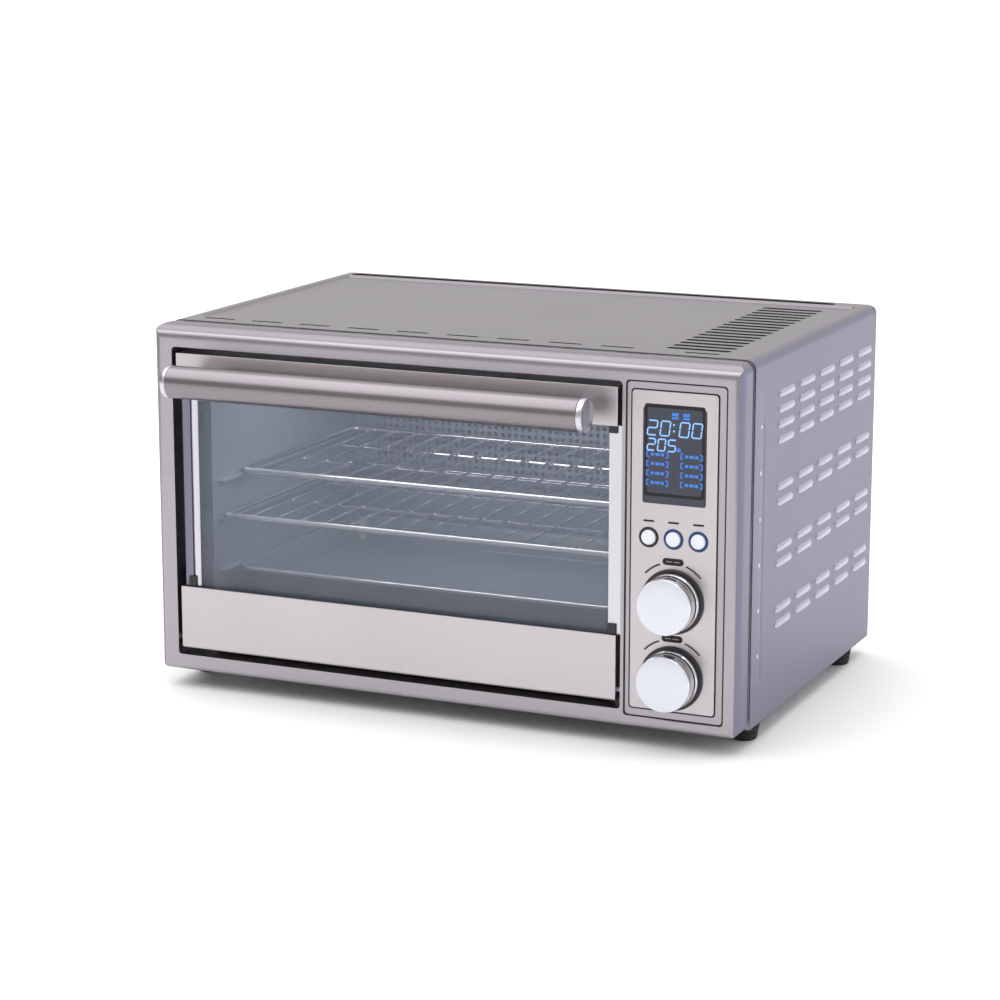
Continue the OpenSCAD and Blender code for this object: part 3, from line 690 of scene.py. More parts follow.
def rack_tree():
    """A wire rack: a rod loop with round corners, wires from front to rear and two cross rods."""
    tree, given = repeat_tree("Wire rack", {"Wires": 15, "Width": 0.35, "Depth": 0.2, "Rod Radius": 0.002,
                                            "Wire Radius": 0.001, "Corner": 0.008}, ("Centre", "Turn"))
    rod = add(tree, "GeometryNodeCurvePrimitiveCircle", {"Resolution": 12, "Radius": given["Rod Radius"]})
    wire = add(tree, "GeometryNodeCurvePrimitiveCircle", {"Resolution": 8, "Radius": given["Wire Radius"]})
    square = add(tree, "GeometryNodeCurvePrimitiveQuadrilateral",
                 {"Width": given["Width"], "Height": given["Depth"]})
    bent = add(tree, "GeometryNodeFilletCurve", {"Curve": square.outputs["Curve"], "Count": 8,
                                                 "Radius": given["Corner"]}, mode="POLY")
    loop = add(tree, "GeometryNodeCurveToMesh",
               {"Curve": bent.outputs["Curve"], "Profile Curve": rod.outputs["Curve"]}).outputs["Mesh"]
    gaps = add(tree, "ShaderNodeMath", {0: given["Wires"], 1: 1.0}, operation="ADD").outputs[0]
    pitch = add(tree, "ShaderNodeMath", {0: given["Width"], 1: gaps}, operation="DIVIDE").outputs[0]
    field = add(tree, "ShaderNodeMath", {0: pitch, 1: 2.0}, operation="MULTIPLY").outputs[0]
    field = add(tree, "ShaderNodeMath", {0: given["Width"], 1: field}, operation="SUBTRACT").outputs[0]
    half = add(tree, "ShaderNodeMath", {0: given["Depth"], 1: 0.5}, operation="MULTIPLY").outputs[0]
    ahead = add(tree, "ShaderNodeMath", {0: half, 1: -1.0}, operation="MULTIPLY").outputs[0]
    ends = [add(tree, "ShaderNodeCombineXYZ", {"Y": y}).outputs["Vector"] for y in (ahead, half)]
    line = add(tree, "GeometryNodeCurvePrimitiveLine", {"Start": ends[0], "End": ends[1]}).outputs["Curve"]
    one = add(tree, "GeometryNodeCurveToMesh",
              {"Curve": line, "Profile Curve": wire.outputs["Curve"], "Fill Caps": True}).outputs["Mesh"]
    places = add(tree, "GeometryNodeMeshGrid",
                 {"Size X": field, "Size Y": 0.0, "Vertices X": given["Wires"],
                  "Vertices Y": 1}).outputs["Mesh"]
    wires = add(tree, "GeometryNodeInstanceOnPoints",
                {"Points": places, "Instance": one}).outputs["Instances"]
    side = add(tree, "ShaderNodeMath", {0: field, 1: 0.5}, operation="MULTIPLY").outputs[0]
    far = add(tree, "ShaderNodeMath", {0: side, 1: -1.0}, operation="MULTIPLY").outputs[0]
    low = add(tree, "ShaderNodeMath", {0: given["Wire Radius"], 1: -1.6}, operation="MULTIPLY").outputs[0]
    tips = [add(tree, "ShaderNodeCombineXYZ", {"X": x, "Z": low}).outputs["Vector"] for x in (far, side)]
    rail = add(tree, "GeometryNodeCurvePrimitiveLine", {"Start": tips[0], "End": tips[1]}).outputs["Curve"]
    cross = add(tree, "GeometryNodeCurveToMesh",
                {"Curve": rail, "Profile Curve": wire.outputs["Curve"], "Fill Caps": True}).outputs["Mesh"]
    third = add(tree, "ShaderNodeMath", {0: given["Depth"], 1: 3.0}, operation="DIVIDE").outputs[0]
    rows = add(tree, "GeometryNodeMeshGrid",
               {"Size X": 0.0, "Size Y": third, "Vertices X": 1, "Vertices Y": 2}).outputs["Mesh"]
    rails = add(tree, "GeometryNodeInstanceOnPoints",
                {"Points": rows, "Instance": cross}).outputs["Instances"]
    whole = add(tree, "GeometryNodeJoinGeometry",
                {"Geometry": Feeds([loop, wires, rails])}).outputs["Geometry"]
    return close_tree(tree, whole, given)


def grown(name, build, **values):
    """A plain mesh piece grown by a geometry tree, which is made once and then shared."""
    tree = bpy.data.node_groups.get(TREES[build]) or build()
    piece = bpy.data.objects.new(name, bpy.data.meshes.new(name))
    bpy.context.scene.collection.objects.link(piece)
    growth = piece.modifiers.new("Growth", "NODES")
    growth.node_group = tree
    for item in tree.interface.items_tree:
        if item.in_out == "INPUT":
            label = item.name.replace(" ", "_").lower()
            if label in values:
                growth[item.identifier] = values[label]
    mesh = settled(piece).data
    mesh.materials.clear()
    mesh.materials.append(values["finish"])
    for face in mesh.polygons:
        face.material_index = 0
    smooth(mesh)
    return piece


TREES = {grid_tree: "Copies in a grid", arc_tree: "Copies on an arc", rack_tree: "Wire rack"}


def copied(name, form, finish, columns, rows, pitch, centre, side):
    """Copies of a form in a grid on one side of the oven; pitch is along the columns and the rows."""
    return grown(name, grid_tree, finish=finish, columns=columns, rows=rows, column_pitch=pitch[0],
                 row_pitch=pitch[1], centre=centre, turn=FACING[side], form=form)


def cut(piece, cutter):
    """Takes a cutter out of a piece and removes the cutter."""
    tool = piece.modifiers.new("Cut", "BOOLEAN")
    tool.object = cutter
    tool.solver = "EXACT"
    settled(piece)
    bpy.data.objects.remove(cutter)
    return piece


def pattern_form(name, build):
    """A hidden form for copying, made by build(bmesh)."""
    form = bmesh.new()
    build(form)
    piece = keep(name, form, zinc())
    piece.hide_render = True
    return piece


def screw_form(radius, height):
    """A pan-head screw head with a cross recess."""
    outline = [(0, 0), (radius, 0), (radius, height * 0.45), (radius * 0.8, height * 0.85),
               (radius * 0.4, height), (0, height)]
    head = turned("screw_form", outline, (0, 0, 1), (0, 0, 0), zinc(), 20)
    cross = bmesh.new()
    arm, wide = radius * 0.55, radius * 0.13
    block(cross, (-arm, -wide, height * 0.35), (arm, wide, height * 1.5))
    block(cross, (-wide, -arm, height * 0.4), (wide, arm, height * 1.6))
    cut(head, keep("cross_form", cross, zinc()))
    head.hide_render = True
    return head


# ---- pieces ----

WRAP_LOW, WRAP_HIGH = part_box("wrapper_shell")
LOUVRE_ROWS = [(0, 4), (6, 2), (10, 2), (14, 2)]
LOUVRE_PITCH = 12.1 * MM
LOUVRE_COLUMNS = 5
LOUVRE_COLUMN_PITCH = 50 * MM
LOUVRE_TOP = WRAP_HIGH.z - 35.5 * MM
LOUVRE_START = WRAP_LOW.y + 58 * MM


def louvre_centre(start, count):
    """The middle, in Y and Z, of a group of louvre rows."""
    y = LOUVRE_START + 15 * MM + (LOUVRE_COLUMNS - 1) * LOUVRE_COLUMN_PITCH / 2
    z = LOUVRE_TOP + 1.1 * MM - (start + (count - 1) / 2) * LOUVRE_PITCH
    return y, z


def wrapper_skin(sizes):
    """The wrapper bent from one sheet, with its pressed top, its vents and its louvre slots."""
    wide = WRAP_HIGH.x - 0.5 * MM
    bend = 8 * MM
    slope = 3 * MM
    left, right = WRAP_LOW.x + 13 * MM, WRAP_HIGH.x - 13 * MM
    front, rear = WRAP_LOW.y + 25 * MM, WRAP_HIGH.y - 18 * MM
    groove, groove_depth = WRAP_LOW.y + 22 * MM, 0.7 * MM
    top = WRAP_HIGH.z
    heights = [(WRAP_LOW.z, 0), (WRAP_LOW.z + 30 * MM, 0), (WRAP_LOW.z + 36 * MM, 1), (top - 52 * MM, 1),
               (top - 46 * MM, 0), (top - bend, 0)]
    side = [(-wide, z, 0, pressed) for z, pressed in heights]
    arc = [(-wide + bend - bend * math.cos(a), top - bend + bend * math.sin(a), 0, 0)
           for a in [math.pi / 2 * i / 8 for i in range(1, 9)]]
    half = side + arc
    other = [(-x, z, 0, pressed) for x, z, _, pressed in reversed(half)]
    panel = [(left, top, 0, 0), (left + slope, top, 1, 0), (right - slope, top, 1, 0), (right, top, 0, 0)]
    profile = half + panel + other
    stations = [(WRAP_LOW.y, 0, 0), (groove - 2.2 * MM, 0, 0), (groove, 0, 1), (groove + 2.2 * MM, 0, 0),
                (front, 0, 0), (front + slope, 1, 0), (rear - slope, 1, 0), (rear, 0, 0), (WRAP_HIGH.y, 0, 0)]
    form = bmesh.new()
    rows = [[form.verts.new((x - math.copysign(groove_depth * pressed * inward, x), y,
                             z - sizes.recess * deep * down)) for x, z, deep, pressed in profile]
            for y, down, inward in stations]
    for near, far in zip(rows, rows[1:]):
        for i in range(len(profile) - 1):
            form.faces.new([near[i], near[i + 1], far[i + 1], far[i]])
    skin = keep("wrapper_skin", form, top_steel())
    sheet = skin.modifiers.new("Sheet", "SOLIDIFY")
    sheet.thickness = 0.8 * MM
    sheet.offset = -1
    settled(skin)
    long_slot = pattern_form("vent_form", lambda f: slab(f, oblong(52 * MM, 7 * MM), -6 * MM, 6 * MM))
    dash = pattern_form("dash_form", lambda f: slab(f, oblong(28 * MM, 4 * MM), -6 * MM, 6 * MM))
    strip = pattern_form("strip_form", lambda f: slab(f, oblong(453 * MM, 9.6 * MM), -6 * MM, 6 * MM))
    gill = pattern_form("gill_form", lambda f: slab(f, oblong(29 * MM, 1.8 * MM, 3), -4 * MM, 4 * MM))
    steel = top_steel()
    cutters = [
        copied("vents", long_slot, steel, 1, 17, (0, 13.9 * MM),
               (WRAP_HIGH.x - 60 * MM, WRAP_LOW.y + (38.5 + 8 * 13.9) * MM, top), "top"),
        copied("dashes", dash, steel, 9, 1, (43.3 * MM, 0),
               (WRAP_LOW.x + (36 + 4 * 43.3) * MM, WRAP_LOW.y + 16 * MM, top), "top"),
        copied("last_dash", dash, steel, 1, 1, (0, 0), (WRAP_HIGH.x - 48.5 * MM, WRAP_LOW.y + 14 * MM, top),
               "top"),
        copied("rear_slot", strip, steel, 1, 1, (0, 0), (-9.5 * MM, WRAP_HIGH.y - 10 * MM, top), "top"),
    ]
    for start, count in LOUVRE_ROWS:
        y, z = louvre_centre(start, count)
        for side_name, x in (("left", -wide), ("right", wide)):
            cutters.append(copied("gills", gill, steel, LOUVRE_COLUMNS, count,
                                  (LOUVRE_COLUMN_PITCH, LOUVRE_PITCH), (x, y, z), side_name))
    cut(skin, joined("cutters", cutters))
    for form_piece in (long_slot, dash, strip, gill):
        bpy.data.objects.remove(form_piece)
    smooth(skin.data, 14)
    # The faces that turn sideways get the darker side tone: painted shade on the one sheet.
    return refaced(skin, shaded_side_steel(), lambda face: abs(face.normal.x) > 0.5)


def hood(form, height):
    """One pressed louvre: an oblong blister, closed above and at its ends, open under its lower lip."""
    half, sheet = 17.5 * MM, 0.4 * MM
    across = [(2.9, 0, 1.6), (2.3, 0.45, 0.9), (1.4, 0.82, 0.4), (0.3, 1, 0.1), (-1.2, 1, 0.2),
              (-2.2, 0.9, 0.6)]
    along = [(1, 0), (0.97, 0.42), (0.92, 0.78), (0.84, 1)]
    along = along + [(-u, lift) for u, lift in reversed(along)]
    outer, inner = [], []
    for v, rise, short in across:
        outer.append([form.verts.new((u * (half - short * MM), v * MM, height * rise * lift))
                      for u, lift in along])
        inner.append([form.verts.new((u * (half - short * MM - sheet), v * MM - sheet * (v > 0),
                                      height * rise * lift - sheet)) for u, lift in along])
    for grid in (outer, inner):
        for high, low in zip(grid, grid[1:]):
            for i in range(len(along) - 1):
                form.faces.new([high[i], high[i + 1], low[i + 1], low[i]])
    for a, b in ((outer[0], inner[0]), (outer[-1], inner[-1]),
                 ([row[0] for row in outer], [row[0] for row in inner]),
                 ([row[-1] for row in outer], [row[-1] for row in inner])):
        for i in range(len(a) - 1):
            form.faces.new([a[i], a[i + 1], b[i + 1], b[i]])
    bmesh.ops.recalc_face_normals(form, faces=form.faces)


def build_casing(sizes):
    """The wrapper, its louvres and its dimples."""
    skin = seated(wrapper_skin(sizes), "stainless", "wrapper_shell")
    wide = WRAP_HIGH.x - 0.5 * MM
    blister = pattern_form("hood_form", lambda f: hood(f, sizes.hood))
    dimple = turned("dimple_form",
                    [(0, -0.3 * MM), (1.8 * MM, -0.3 * MM), (1.7 * MM, 0.2 * MM), (1.1 * MM, 0.5 * MM),
                                    (0, 0.7 * MM)], (0, 0, 1), (0, 0, 0), trim_steel(), 16)
    for side, sign in (("left", -1), ("right", 1)):
        parts = []
        for start, count in LOUVRE_ROWS:
            y, z = louvre_centre(start, count)
            parts.append(copied("hoods", blister, louvre_steel(), LOUVRE_COLUMNS, count,
                                (LOUVRE_COLUMN_PITCH, LOUVRE_PITCH), (sign * wide, y, z), side))
        seated(joined("louvres_" + side, parts), "stainless", body=skin["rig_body"])
        dots = copied("dimples_" + side, dimple, trim_steel(), 1, 6, (0, 35.6 * MM),
                      (sign * wide, WRAP_LOW.y + 14.5 * MM, 158.6 * MM), side)
        seated(dots, "bright_trim", body=skin["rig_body"])
    bpy.data.objects.remove(blister)
    bpy.data.objects.remove(dimple)


def build_front(sizes):
    """The formed front frame and the chassis plate behind it."""
    rim = softened("front_frame", frame_steel(), 0.45 * MM)
    # The frame's outer faces that turn sideways get the side tone and its top faces the top tone: painted
    # shade by which way each face turns.
    refaced(rim, shaded_side_steel(), lambda face: abs(face.normal.x) > 0.5 and abs(face.center.x) > 0.24)
    refaced(rim, top_steel(), lambda face: face.normal.z > 0.6 and face.center.z > WRAP_HIGH.z - 8 * MM)
    seated(rim, "stainless", "front_frame")
    seated(softened("front_plate", galvanised_steel(), 0.25 * MM, 1), "galvanised", "front_plate")
    for side in ("left", "right"):
        node = "hinge_bracket_" + side
        seated(softened(node, zinc(), 0.4 * MM), "galvanised", node)


def foot_piece(node):
    """A moulded rubber foot with two grooves and a worn lower edge."""
    low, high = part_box(node)
    radius = (high.x - low.x) / 2
    outline = [(0, 0), (radius - 3.4 * MM, 0), (radius - 2.4 * MM, 0.9 * MM), (radius - 1.6 * MM, 3 * MM),
               (radius - 1.3 * MM, 6 * MM), (radius - 2 * MM, 6.5 * MM), (radius - 2 * MM, 7.3 * MM),
               (radius - 0.9 * MM, 7.8 * MM), (radius - 0.6 * MM, 10.5 * MM), (radius - 1.4 * MM, 11 * MM),
               (radius - 1.4 * MM, 11.8 * MM), (radius, 12.3 * MM), (radius, high.z), (0, high.z)]
    middle = ((low.x + high.x) / 2, (low.y + high.y) / 2, 0)
    seated(turned(node + "_moulded", outline, (0, 0, 1), middle, rubber(), 48), "rubber", node)


def screw_set(node, columns, rows, side, name):
    """Screws at a CAD node's places, which are a grid between the outer corners of its box."""
    low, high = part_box(node)
    radius = 3.6 * MM
    head = screw_form(radius, 2.0 * MM)
    flat = (0, 2) if side == "back" else (0, 1)
    reach = [high[a] - low[a] - 2 * radius for a in flat]
    centre = [(a + b) / 2 for a, b in zip(low, high)]
    centre[3 - flat[1]] = high.y - 2 * MM if side == "back" else low.z + 2 * MM
    pitch = (reach[0] / (columns - 1), reach[1] / (rows - 1))
    piece = copied(name, head, zinc(), columns, rows, pitch, centre, side)
    bpy.data.objects.remove(head)
    return seated(piece, "zinc", node)


def back_screws():
    """Eight screws round the back panel; the middle ones stand nearer each other than the outer ones."""
    low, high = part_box("back_screws")
    radius = 3.6 * MM
    head = screw_form(radius, 2.0 * MM)
    rise = high.z - low.z - 2 * radius
    middle = ((low.x + high.x) / 2, high.y - 2 * MM, (low.z + high.z) / 2)
    sets = [copied("screws", head, zinc(), 2, 2, (width, rise), middle, "back")
            for width in (high.x - low.x - 2 * radius, 160 * MM)]
    bpy.data.objects.remove(head)
    seated(joined("back_screw_heads", sets), "zinc", "back_screws")


def cord_gland():
    """The ribbed strain-relief gland in the back panel."""
    low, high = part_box("cord_gland")
    centre = ((low.x + high.x) / 2, low.y, (low.z + high.z) / 2)
    length = high.y - low.y
    bore = 4 * MM
    flange = (high.x - low.x) / 2
    outline = [(bore, 0), (9 * MM, 0), (9 * MM, 6 * MM), (flange, 6 * MM), (flange, 7.6 * MM),
               (flange - 0.8 * MM, 8.4 * MM)]
    for i in range(3):
        step = 8.4 * MM + i * 1.2 * MM
        outline += [(9.4 * MM - i * MM, step), (9.4 * MM - i * MM, step + 0.7 * MM),
                    (8.2 * MM - i * MM, step + 0.8 * MM)]
    outline += [(6 * MM, length), (bore, length), (bore, 0)]
    seated(turned("cord_gland_ribbed", outline, (0, 1, 0), centre, black_plastic(), 48), "black_plastic",
           "cord_gland")


def build_rear_and_base(sizes):
    """The back panel, the base plate, the feet, their screws and the cord's gland."""
    seated(softened("back_panel", galvanised_steel(), 0.3 * MM, 1), "galvanised", "back_panel")
    seated(softened("base_plate", galvanised_steel(), 0.3 * MM, 1), "galvanised", "base_plate")
    for place in ("front_left", "front_right", "rear_left", "rear_right"):
        foot_piece("foot_" + place)
    back_screws()
    screw_set("base_screws", 3, 2, "under", "base_screw_heads")
    cord_gland()


def hole_cell(form, pitch, radius, sheet):
    """One square of perforated sheet with its round hole."""
    sides = 16
    angles = [2 * math.pi * i / sides for i in range(sides)]
    rings = []
    for z in (0, -sheet):
        square = [(math.cos(a), math.sin(a)) for a in angles]
        square = [(x / max(abs(x), abs(y)), y / max(abs(x), abs(y))) for x, y in square]
        outer = [form.verts.new((x * pitch / 2, y * pitch / 2, z)) for x, y in square]
        inner = [form.verts.new((radius * math.cos(a), radius * math.sin(a), z)) for a in angles]
        rings += [outer, inner]
    for a, b in ((rings[0], rings[1]), (rings[1], rings[3]), (rings[3], rings[2])):
        for i in range(sides):
            j = (i + 1) % sides
            form.faces.new([a[i], a[j], b[j], b[i]])


def perforated_back(sizes):
    """The rear wall of the cavity: a plain border and a field of round holes over the fan."""
    low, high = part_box("cavity_back")
    pitch = sizes.hole_pitch
    columns, rows = round(320 * MM / pitch), round(128 * MM / pitch)
    middle_x = (low.x + high.x) / 2
    middle_z = 176 * MM
    cell = pattern_form("cell_form", lambda f: hole_cell(f, pitch, sizes.hole, high.y - low.y))
    field = copied("field", cell, aluminised_steel(), columns, rows, (pitch, pitch),
                   (middle_x, low.y, middle_z), "front")
    bpy.data.objects.remove(cell)
    left, right = middle_x - columns * pitch / 2, middle_x + columns * pitch / 2
    bottom, top = middle_z - rows * pitch / 2, middle_z + rows * pitch / 2
    form = bmesh.new()
    block(form, low, (left, high.y, high.z))
    block(form, (right, low.y, low.z), high)
    block(form, (left, low.y, low.z), (right, high.y, bottom))
    block(form, (left, low.y, top), (right, high.y, high.z))
    border = keep("border", form, aluminised_steel())
    piece = joined("cavity_back_perforated", [field, border])
    form = bmesh.new()
    form.from_mesh(piece.data)
    bmesh.ops.remove_doubles(form, verts=form.verts, dist=0.01 * MM)
    form.to_mesh(piece.data)
    form.free()
    smooth(piece.data)
    return piece


def build_cavity(sizes):
    """The walls of the cavity, its perforated back, the heaters and the sensors."""
    for node in ("cavity_left_wall", "cavity_right_wall", "cavity_roof"):
        seated(softened(node, aluminised_steel(), 0.3 * MM), "cavity_steel", node)
    seated(perforated_back(sizes), "cavity_steel", "cavity_back")
    for node in ("upper_heaters", "lower_heaters"):
        seated(softened(node, heater_sheath(), 0.5 * MM), "heater_tube", node)
    seated(softened("heater_bushes", ceramic(), 0.6 * MM), "ceramic", "heater_bushes")
    seated(softened("temperature_probe", chrome(), 0.4 * MM), "chrome", "temperature_probe")
    seated(softened("thermal_cutout", black_plastic(), 0.4 * MM), "black_plastic", "thermal_cutout")
    seated(softened("crumb_rails", galvanised_steel(), 0.2 * MM, 1), "galvanised", "crumb_rails")
    seated(softened("heat_shield", galvanised_steel(), 0.2 * MM, 1), "galvanised", "heat_shield")


def wire_rack(node, sizes):
    """A plated wire rack on its own body, with its front rod painted brightest: a painted highlight."""
    low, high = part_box(node)
    rod = 2.2 * MM
    piece = grown(node + "_wires", rack_tree, finish=chrome(), wires=sizes.wires,
                  width=high.x - low.x - 2 * rod,
                  depth=high.y - low.y - 2 * rod, rod_radius=rod, wire_radius=1.2 * MM, corner=8 * MM,
                  centre=((low.x + high.x) / 2, (low.y + high.y) / 2, high.z - rod), turn=(0, 0, 0))
    # The front rod gets the whiter finish: a painted highlight.
    refaced(piece, highlight_wire(), lambda face: face.center.y < low.y + 4.6 * MM)
    seated(piece, "chrome", node)


def round_loop(low, high, inset, bend, z, steps=8):
    """Points round a rectangle with round corners, set in from a box."""
    bend = max(bend - inset, 2 * MM)
    x0, x1 = low.x + inset + bend, high.x - inset - bend
    y0, y1 = low.y + inset + bend, high.y - inset - bend
    corners = ((x1, y1, 0), (x0, y1, 1), (x0, y0, 2), (x1, y0, 3))
    return [Vector((x + bend * math.cos(a), y + bend * math.sin(a), z))
            for x, y, quarter in corners
            for a in [math.pi / 2 * (quarter + i / steps) for i in range(steps + 1)]]


def baking_tray():
    """A pressed tray: sloping walls, round corners and a rolled rim."""
    low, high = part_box("baking_tray")
    top, bottom = high.z, low.z
    layers = [(15, bottom), (13.4, bottom + 0.5 * MM), (12.4, bottom + 2 * MM), (8.6, top - 2.2 * MM),
              (7.6, top - 1.2 * MM), (1.4, top - 1.2 * MM), (1.2, top - 2.6 * MM), (0.4, top - 2.8 * MM),
              (0, top - 1.6 * MM), (0.3, top - 0.5 * MM), (1.2, top), (7.2, top), (8.4, top - 0.4 * MM),
              (9.4, top - 1.6 * MM), (13.2, bottom + 2.4 * MM), (14, bottom + 1.3 * MM),
              (15.4, bottom + 0.9 * MM)]
    form = bmesh.new()
    loops = [[form.verts.new(p) for p in round_loop(low, high, inset * MM, 24 * MM, z)]
             for inset, z in layers]
    for a, b in zip(loops, loops[1:]):
        for i in range(len(a)):
            j = (i + 1) % len(a)
            form.faces.new([a[i], a[j], b[j], b[i]])
    form.faces.new(loops[0])
    form.faces.new(loops[-1])
    bmesh.ops.recalc_face_normals(form, faces=form.faces)
    tray = keep("baking_tray_pressed", form, enamel())
    # The tray's front rim gets the whiter wire finish: a painted highlight.
    refaced(tray, highlight_wire(), lambda face: face.center.z > top - 2.9 * MM and face.center.y < low.y + 3 * MM)
    seated(tray, "enamel", "baking_tray")


def build_racks_and_trays(sizes):
    """The two racks, the baking tray and the crumb tray."""
    wire_rack("upper_rack", sizes)
    wire_rack("lower_rack", sizes)
    baking_tray()
    # The crumb tray's dark grey is painted shade in the gap under the door.
    seated(softened("crumb_tray", shade_dark_steel(), 0.3 * MM), "aluminised", "crumb_tray")


def edge_strip():
    """The bright crowned strip along the left edge of the glass, inside the trim."""
    low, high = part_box("door_left_trim")
    start, wide, rear, crown = high.x + 0.1 * MM, 6.4 * MM, low.y + 1.9 * MM, 1.2 * MM
    bottom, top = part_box("door_lower_panel")[1].z + 0.5 * MM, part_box("door_top_rail")[0].z - 0.5 * MM
    steps = 8
    outline = [(start + wide * i / steps, rear - 0.4 * MM - crown * (1 - (2 * i / steps - 1) ** 2))
               for i in range(steps + 1)] + [(start + wide, rear), (start, rear)]
    form = bmesh.new()
    ends = [[form.verts.new((x, y, z)) for x, y in outline] for z in (bottom, top)]
    for i in range(len(outline)):
        j = (i + 1) % len(outline)
        form.faces.new([ends[0][i], ends[0][j], ends[1][j], ends[1][i]])
    for end in ends:
        form.faces.new(end)
    bmesh.ops.recalc_face_normals(form, faces=form.faces)
    return keep("glass_edge_strip", form, trim_steel())


def build_door(sizes):
    """The door's rails, its side channels, the glass, the clips and the hinge pins."""
    for node in ("door_top_rail", "door_lower_panel"):
        seated(softened(node, door_steel(), sizes.edge), "stainless", node)
    # The left trim gets the darker side tone where the matching right trim is bright: painted shade on the
    # left trim.
    seated(softened("door_left_trim", shaded_side_steel(), 0.4 * MM), "bright_trim", "door_left_trim")
    seated(softened("door_right_trim", trim_steel(), 0.4 * MM), "bright_trim", "door_right_trim")
    seated(edge_strip(), "bright_trim", body=frame["nodes"]["door_glass"]["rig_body"])
    seated(softened("door_glass", door_glass(), 0.5 * MM), "clear_glass", "door_glass")
    seated(softened("glass_clips", black_plastic(), 0.5 * MM), "black_plastic", "glass_clips")
    seated(softened("hinge_pins", zinc(), 0.3 * MM), "zinc", "hinge_pins")


def build_handle(sizes):
    """The bar handle: a brushed tube, turned end caps, posts and their screws."""
    low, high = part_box("handle_bar")
    outer_low, outer_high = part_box("handle_caps")
    radius = (high.z - low.z) / 2
    centre_y, centre_z = (low.y + high.y) / 2, (low.z + high.z) / 2
    length = outer_high.x - outer_low.x
    cap = 5 * MM
    lip = 0.5 * MM
    tube = [(radius - 1.5 * MM, cap), (radius - lip, cap), (radius, cap + lip), (radius, length - cap - lip),
            (radius - lip, length - cap), (radius - 1.5 * MM, length - cap), (radius - 1.5 * MM, cap)]
    start = (outer_low.x, centre_y, centre_z)
    seated(turned("handle_tube", tube, (1, 0, 0), start, handle_steel()), "stainless", "handle_bar")
    plug = [(0, 0), (radius - 2 * MM, 0), (radius - 0.7 * MM, 0.5 * MM), (radius, 1.6 * MM),
            (radius, cap - 0.4 * MM),
            (radius - 0.5 * MM, cap), (radius - 1.6 * MM, cap), (radius - 1.6 * MM, cap + 6 * MM),
            (0, cap + 6 * MM)]
    caps = [turned("cap", plug, (1, 0, 0), start, trim_steel()),
            turned("cap", plug, (-1, 0, 0), (outer_high.x, centre_y, centre_z), trim_steel())]
    seated(joined("handle_end_caps", caps), "bright_trim", "handle_caps")
    seated(softened("handle_posts", trim_steel(), 0.4 * MM), "bright_trim", "handle_posts")
    seated(softened("handle_screws", zinc(), 0.3 * MM), "zinc", "handle_screws")


PLATE_LOW, PLATE_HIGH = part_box("control_plate")
PLATE_X = (PLATE_LOW.x + PLATE_HIGH.x) / 2
PLATE_Y = PLATE_LOW.y
LENS_HALF = 25.15 * MM  # half the width of the display window
BADGE_RISE = 30.8 * MM  # from the middle of a knob up to its badge
DOT_RADIUS = 30 * MM
INK = 0.15 * MM

# Which of a digit's seven bars are lit: top, upper left, upper right, middle, lower left, lower right, bottom
DIGITS = {"0": "1110111", "2": "1011101", "5": "1101011"}


def bar(form, start, end, thick, lean):
    """A pointed display bar between two points of a digit, leaning with it."""
    a, b = Vector(start), Vector(end)
    run = (b - a).normalized() * thick / 2
    side = Vector((-run.y, run.x))
    outline = [a + run * 0.4, a + run + side, b - run + side, b - run * 0.4, b - run - side, a + run - side]
    slab(form, [Vector((p.x + lean * p.y, p.y, 0)) for p in reversed(outline)], 0, INK)


def digit(form, character, x, y, wide, tall, thick):
    """A leaning seven-bar digit with its lower left corner at x, y."""
    lit = DIGITS[character]
    half = tall / 2
    ends = [((0, tall), (wide, tall)), ((0, half), (0, tall)), ((wide, half), (wide, tall)),
            ((0, half), (wide, half)), ((0, 0), (0, half)), ((wide, 0), (wide, half)), ((0, 0), (wide, 0))]
    lean = 0.12
    for on, (a, b) in zip(lit, ends):
        if on == "1":
            bar(form, (a[0] + x - lean * y, a[1] + y), (b[0] + x - lean * y, b[1] + y), thick, lean)


def upright(form):
    """Turns a form drawn facing up to face the front."""
    for vert in form.verts:
        vert.co = Vector((vert.co.x, PLATE_Y - vert.co.z, vert.co.y))


def clock_digits():
    """The clock line with its colon and the temperature line."""
    form = bmesh.new()
    left = PLATE_X - LENS_HALF
    top = PLATE_HIGH.z - 16 * MM
    x0, y0 = left + 3.2 * MM, top - 21.2 * MM
    for character, step in (("2", 0), ("0", 10.2), ("0", 25.4), ("0", 35.4)):
        digit(form, character, x0 + step * MM, y0, 7.2 * MM, 11 * MM, 1.05 * MM)
    for rise in (3.2, 8.0):
        block(form, (x0 + 20.6 * MM, y0 + rise * MM, 0), (x0 + 22 * MM, y0 + (rise + 1.4) * MM, INK))
    for character, step in (("2", 0), ("0", 8.2), ("5", 16.4)):
        digit(form, character, x0 + step * MM, y0 - 11.6 * MM, 5.8 * MM, 8.8 * MM, 1.05 * MM)
    upright(form)
    return keep("display_digits", form,
                glow("display_light_white", bpy.context.scene.oven_finish.digits, 1.0))


def mode_field(form):
    """One mode field: a bar of light between two brackets."""
    for side in (-1, 1):
        x = side * 8.4 * MM
        block(form, (x - 0.5 * MM, -2.4 * MM, 0), (x + 0.5 * MM, 2.4 * MM, INK))
        for y in (-2.4, 1.6):
            inner = x - side * 1.9 * MM
            block(form, (min(x, inner), y * MM, 0), (max(x, inner), (y + 0.8) * MM, INK))
    for x, wide in ((-5.2, 2.6), (-1.6, 3.4), (2.6, 2.8)):
        block(form, (x * MM, -1.1 * MM, 0), ((x + wide) * MM, 1.1 * MM, INK))


